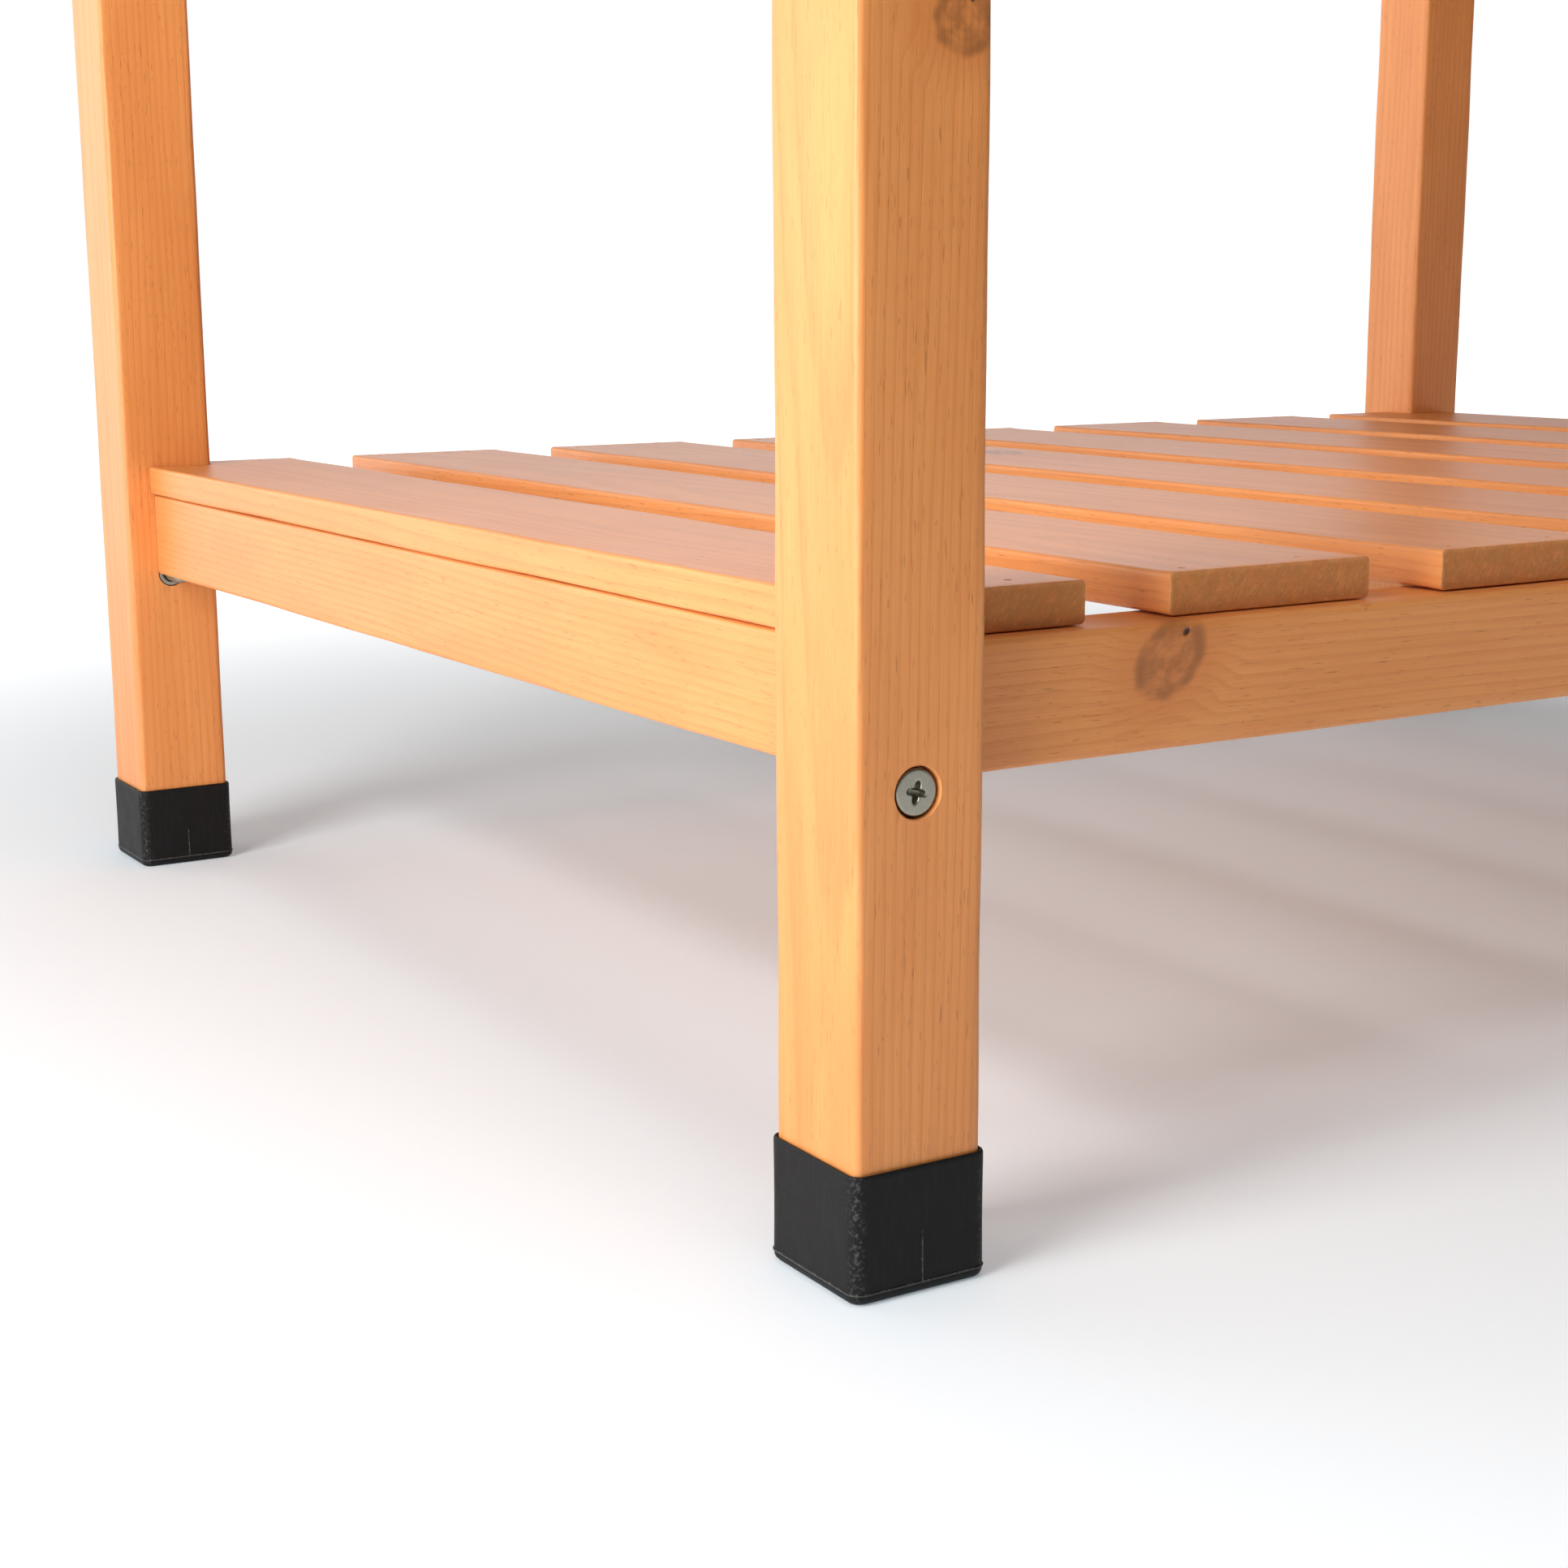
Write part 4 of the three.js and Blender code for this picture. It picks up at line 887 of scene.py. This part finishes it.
def make_inserts_and_nuts():
    """Threaded sleeves in the legs, with a rounded flange edge, and barrel nuts with broken edges, a cross
    hole for the bolt and a slot in the end that shows."""
    for corner in CORNERS:
        inward = 1 if "front" in corner else -1
        low, high = corners(f"shelf_bolt_insert_{corner}")
        x, z = (low[0] + high[0]) / 2, (low[2] + high[2]) / 2
        start, length = (low[1] if inward > 0 else high[1]), high[1] - low[1]
        profile = [(0.0, 3.5), (0.0, 4.4), (0.2, 4.7), (0.7, 4.75), (10.6, 4.75), (10.9, 4.95), (11.6, 5.0),
                   (11.9, 4.85), (12.0, 4.6), (12.0, 3.6), (11.7, 3.3), (0.3, 3.3)]
        axial, radial = (np.array(values) * MM for values in zip(*profile))
        sleeve = turned(f"shelf_bolt_insert_{corner}_steel", axial * length / SLEEVE, radial,
                        (x, start, z), (0, inward, 0), columns=72, closed=True)
        piece = placed(sleeve)
        smooth(piece, 30)
        stand_for(piece, zinc_steel, "bench", "zinc_steel", f"shelf_bolt_insert_{corner}")

        low, high = corners(f"barrel_nut_{corner}")
        centre, half = (low + high) / 2, (high[0] - low[0]) / 2
        ends = [(0.0, 0.0), (0.0, 3.0), (0.0, 4.4), (0.2, 4.8), (0.6, 5.0)]
        axial = np.array([along for along, _ in ends] + [2 * half / MM - along for along, _ in ends[::-1]])
        radial = np.array([out for _, out in ends + ends[::-1]])
        piece = placed(turned(f"barrel_nut_{corner}_steel", axial * MM, radial * MM,
                              (low[0], centre[1], centre[2]), (1, 0, 0), columns=64))
        seen = high[0] if "left" in corner else low[0]
        slot_x = sorted([seen - math.copysign(1.6 * MM, seen - centre[0]),
                         seen + math.copysign(MM, seen - centre[0])])
        slot = block(np.array([slot_x[0], centre[1] - 6 * MM, centre[2] - 0.6 * MM]),
                     np.array([slot_x[1], centre[1] + 6 * MM, centre[2] + 0.6 * MM]))
        across = turned("bore", np.array([-7, -7, 7, 7]) * MM, [0, BOLT_HOLE, BOLT_HOLE, 0], centre,
                        (0, 1, 0), SHANK_SIDES)
        cut(piece, [slot, across])
        smooth(piece, 30)
        stand_for(piece, zinc_steel, "bench", "zinc_steel", f"barrel_nut_{corner}")


def make_knob():
    """A turned knob: a waisted neck on a cosine, then a flattened ball on an ellipse, and its screw."""
    low, high = corners("drawer_knob")
    x, z = (low[0] + high[0]) / 2, (low[2] + high[2]) / 2
    length = high[1] - low[1]
    neck = np.linspace(0, 1, 9)
    turn = np.radians(np.linspace(-80, 90, 26))
    axial = [*(neck * 9.6), *(10.35 + 12.25 * (np.sin(turn) + 1) / 2)]
    radial = [*(7.6 + 1.4 * np.cos(neck * math.pi)), *(7 + 7 * np.cos(turn))]
    crown = np.linspace(7, 0, 7)[1:]
    axial += [*(length / MM - 0.4 * (crown / 7) ** 2)]
    radial += [*crown]
    hole = [(12.3, 0.0), (12.3, 2.3), (6.0, 2.3), (0.0, 2.3), (0.0, 4.0)]
    axial = np.array([along for along, _ in hole] + [0.0] + axial[1:]) * MM
    radial = np.array([out for _, out in hole] + [8.6] + radial[1:]) * MM
    piece = placed(turned("drawer_knob_wood", axial, radial, (x, high[1], z), (0, -1, 0), columns=72))
    smooth(piece, 40)
    show_grain(piece, "drawer_knob", "y", 1 * MM)
    stand_for(piece, stained_fir, "drawer", "stained_fir", "drawer_knob")

    low, high = corners("knob_screw")
    length = high[1] - low[1]
    x, z = (low[0] + high[0]) / 2, (low[2] + high[2]) / 2
    head = [(0.0, 0.0), (0.0, 2.0), (0.25, 3.0), (0.9, 3.7), (1.7, 4.0), (2.3, 3.9), (2.4, 3.4), (2.4, 2.0)]
    shank = np.arange(3.0, length / MM - 1.5, 0.3)
    axial = np.array([*(along for along, _ in head), *shank, length / MM - 0.6, length / MM]) * MM
    radial = np.array([*(out for _, out in head), *np.full(len(shank), 2.0), 1.3, 0.0]) * MM
    screw = turned("knob_screw_steel", axial, radial, (x, high[1], z), (0, -1, 0), columns=48,
                   ripple=screw_thread(6 * MM, length - 1.5 * MM, 0.8 * MM, 0.3 * MM))
    piece = placed(screw)
    cross = [block(np.array([x - u, high[1] - 1.2 * MM, z - v]), np.array([x + u, high[1] + MM, z + v]))
             for u, v in ((2.2 * MM, 0.45 * MM), (0.45 * MM, 2.2 * MM))]
    cut(piece, [joined_shapes(cross)])
    smooth(piece, 40)
    stand_for(piece, zinc_steel, "drawer", "zinc_steel", "knob_screw")


def make_slat_nails(spots):
    """Small lost-head nails that hold the slats down, set a little below the wood, all in one piece."""
    work = bmesh.new()
    profile = [(0.0, 0.0), (0.0, 0.4), (0.05, 0.6), (0.25, 0.7), (1.4, 0.7), (1.9, 0.45), (1.9, 0.0)]
    axial, radial = (np.array(values) * MM for values in zip(*profile))
    below = Vector((0, 0, 0.45 * MM))
    for spot in spots:
        work.from_mesh(turned("nail", axial, radial, Vector(spot) - below, (0, 0, -1), columns=16))
    mesh = bpy.data.meshes.new("shelf_slat_nails")
    work.to_mesh(mesh)
    work.free()
    piece = placed(mesh)
    smooth(piece, 40)
    stand_for(piece, zinc_steel, "bench", "zinc_steel")


make_foot_caps()
make_bolts()
make_inserts_and_nuts()
make_knob()
make_slat_nails(nail_holes)


# ---------------------------------------------------------------- studio

def make_floor():
    """A large sheet of pale paper, dull, with a faint cool painted glow near the bench that lifts its shadows,
    and a glow that runs away into the white further off and behind: a grid of points a metre apart, in quads."""
    count = 25
    line = np.linspace(-12, 12, count)
    x, y = np.meshgrid(line, line)
    index = np.arange(count - 1)[:, None] * count + np.arange(count - 1)
    faces = np.stack([index, index + 1, index + count + 1, index + count], axis=-1).reshape(-1, 4)
    mesh = bpy.data.meshes.new("floor")
    mesh.from_pydata(np.stack([x, y, 0 * x], axis=-1).reshape(-1, 3).tolist(), [], faces.tolist())
    material, tree, shader = new_material("paper_sweep", Roughness=0.85, Specular_IOR_Level=0.1)
    shader.inputs["Base Color"].default_value = (0.72, 0.74, 0.76, 1.0)
    place = add(tree, "TexCoord").node.outputs["Object"]
    reach = add(tree, "VectorMath", (place,), operation="LENGTH")
    rearward = add(tree, "SeparateXYZ", (place,)).node.outputs["Y"]
    away = add(tree, "Math", (add(tree, "MapRange", (reach, 0.35, 1.5), **SMOOTH),
                              add(tree, "MapRange", (rearward, -1.3, -0.6), **SMOOTH)), **TIMES)
    # Painted light: near the bench the floor glows a faint cool blue, which lifts and cools its shadows;
    # further off it glows plain white.
    glow = add(tree, "Mix", (away, (0.16, 0.20, 0.22, 1.0), (1.05, 1.05, 1.05, 1.0)), **RGBA)
    tree.links.new(glow, shader.inputs["Emission Color"])
    shader.inputs["Emission Strength"].default_value = 1.0
    floor = placed(mesh)
    floor.data.materials.append(material)


def softbox(name, power, size, azimuth, elevation, distance):
    """A rectangular lamp that looks at the shelf. Azimuth is the compass side that it stands on, measured
    from -X towards -Y, and size is its width along the floor and its height, in metres."""
    lamp = bpy.data.lights.new(name, "AREA")
    lamp.shape = "RECTANGLE"
    lamp.size, lamp.size_y = size
    lamp.energy = power
    holder = bpy.data.objects.new(name, lamp)
    bpy.context.scene.collection.objects.link(holder)
    a, e = math.radians(azimuth), math.radians(elevation)
    back = Vector((-math.cos(a) * math.cos(e), -math.sin(a) * math.cos(e), math.sin(e)))
    turn = back.to_track_quat("Z", "Y").to_matrix().to_4x4()
    holder.matrix_world = Matrix.Translation(Vector((0, 0, 0.15)) + back * distance) @ turn


def make_world():
    """A white wall behind the bench and a second one on its left, over a dark room. The camera itself sees
    plain white."""
    world = bpy.data.worlds.new("studio")
    bpy.context.scene.world = world
    world.use_nodes = True
    tree = world.node_tree
    direction = add(tree, "TexCoord").node.outputs["Generated"]
    glow = 0.03
    for bearing, sharpness, brightness in (((0.50, 0.86, 0.08), 9.0, 1.9), ((-0.60, 0.79, 0.10), 8.0, 2.1)):
        facing = add(tree, "VectorMath", (direction, bearing), operation="DOT_PRODUCT")
        ahead = add(tree, "Math", (facing, 0.0), operation="MAXIMUM")
        narrow = add(tree, "Math", (ahead, sharpness), operation="POWER")
        glow = add(tree, "Math", (narrow, brightness, glow), operation="MULTIPLY_ADD")
    seen = add(tree, "LightPath").node.outputs["Is Camera Ray"]
    strength = add(tree, "Mix", (seen, glow, 1.0), data_type="FLOAT")
    background = tree.nodes["Background"]
    background.inputs["Color"].default_value = linear("#FFFFFF")
    tree.links.new(strength, background.inputs["Strength"])


def make_camera():
    """A camera low in front of the near leg, looking in between the legs over the shelf."""
    low, _ = corners("leg_front_left")
    camera = bpy.data.cameras.new("camera")
    camera.lens = 57.0
    camera.sensor_width = 36.0
    camera.clip_start = 0.02
    holder = bpy.data.objects.new("camera", camera)
    bpy.context.scene.collection.objects.link(holder)
    yaw, pitch, roll = math.radians(58.39), math.radians(11.35), math.radians(0.29)
    ahead = Vector((math.cos(yaw) * math.cos(pitch), math.sin(yaw) * math.cos(pitch), -math.sin(pitch)))
    level = Vector((math.sin(yaw), -math.cos(yaw), 0))
    under = ahead.cross(level)
    right = level * math.cos(roll) + under * math.sin(roll)
    down = under * math.cos(roll) - level * math.sin(roll)
    turn = Matrix((right, -down, -ahead)).transposed().to_4x4()
    place = Vector((low[0], low[1], 0)) + Vector((-299.8, -456.2, 234.6)) * MM
    holder.matrix_world = Matrix.Translation(place) @ turn
    bpy.context.scene.camera = holder


make_floor()
make_world()
softbox("key", power=6, size=(0.45, 0.21), azimuth=15, elevation=31, distance=1.5)
softbox("side", power=13.5, size=(0.7, 0.6), azimuth=18, elevation=10, distance=1.6)
softbox("front", power=11, size=(1.2, 0.6), azimuth=72, elevation=56, distance=3.0)
softbox("overhead", power=20, size=(1.2, 1.2), azimuth=45, elevation=84, distance=2.5)
softbox("back", power=5, size=(1.5, 1.5), azimuth=-58, elevation=8, distance=2.5)
make_camera()
bpy.context.scene.view_settings.view_transform = "Standard"
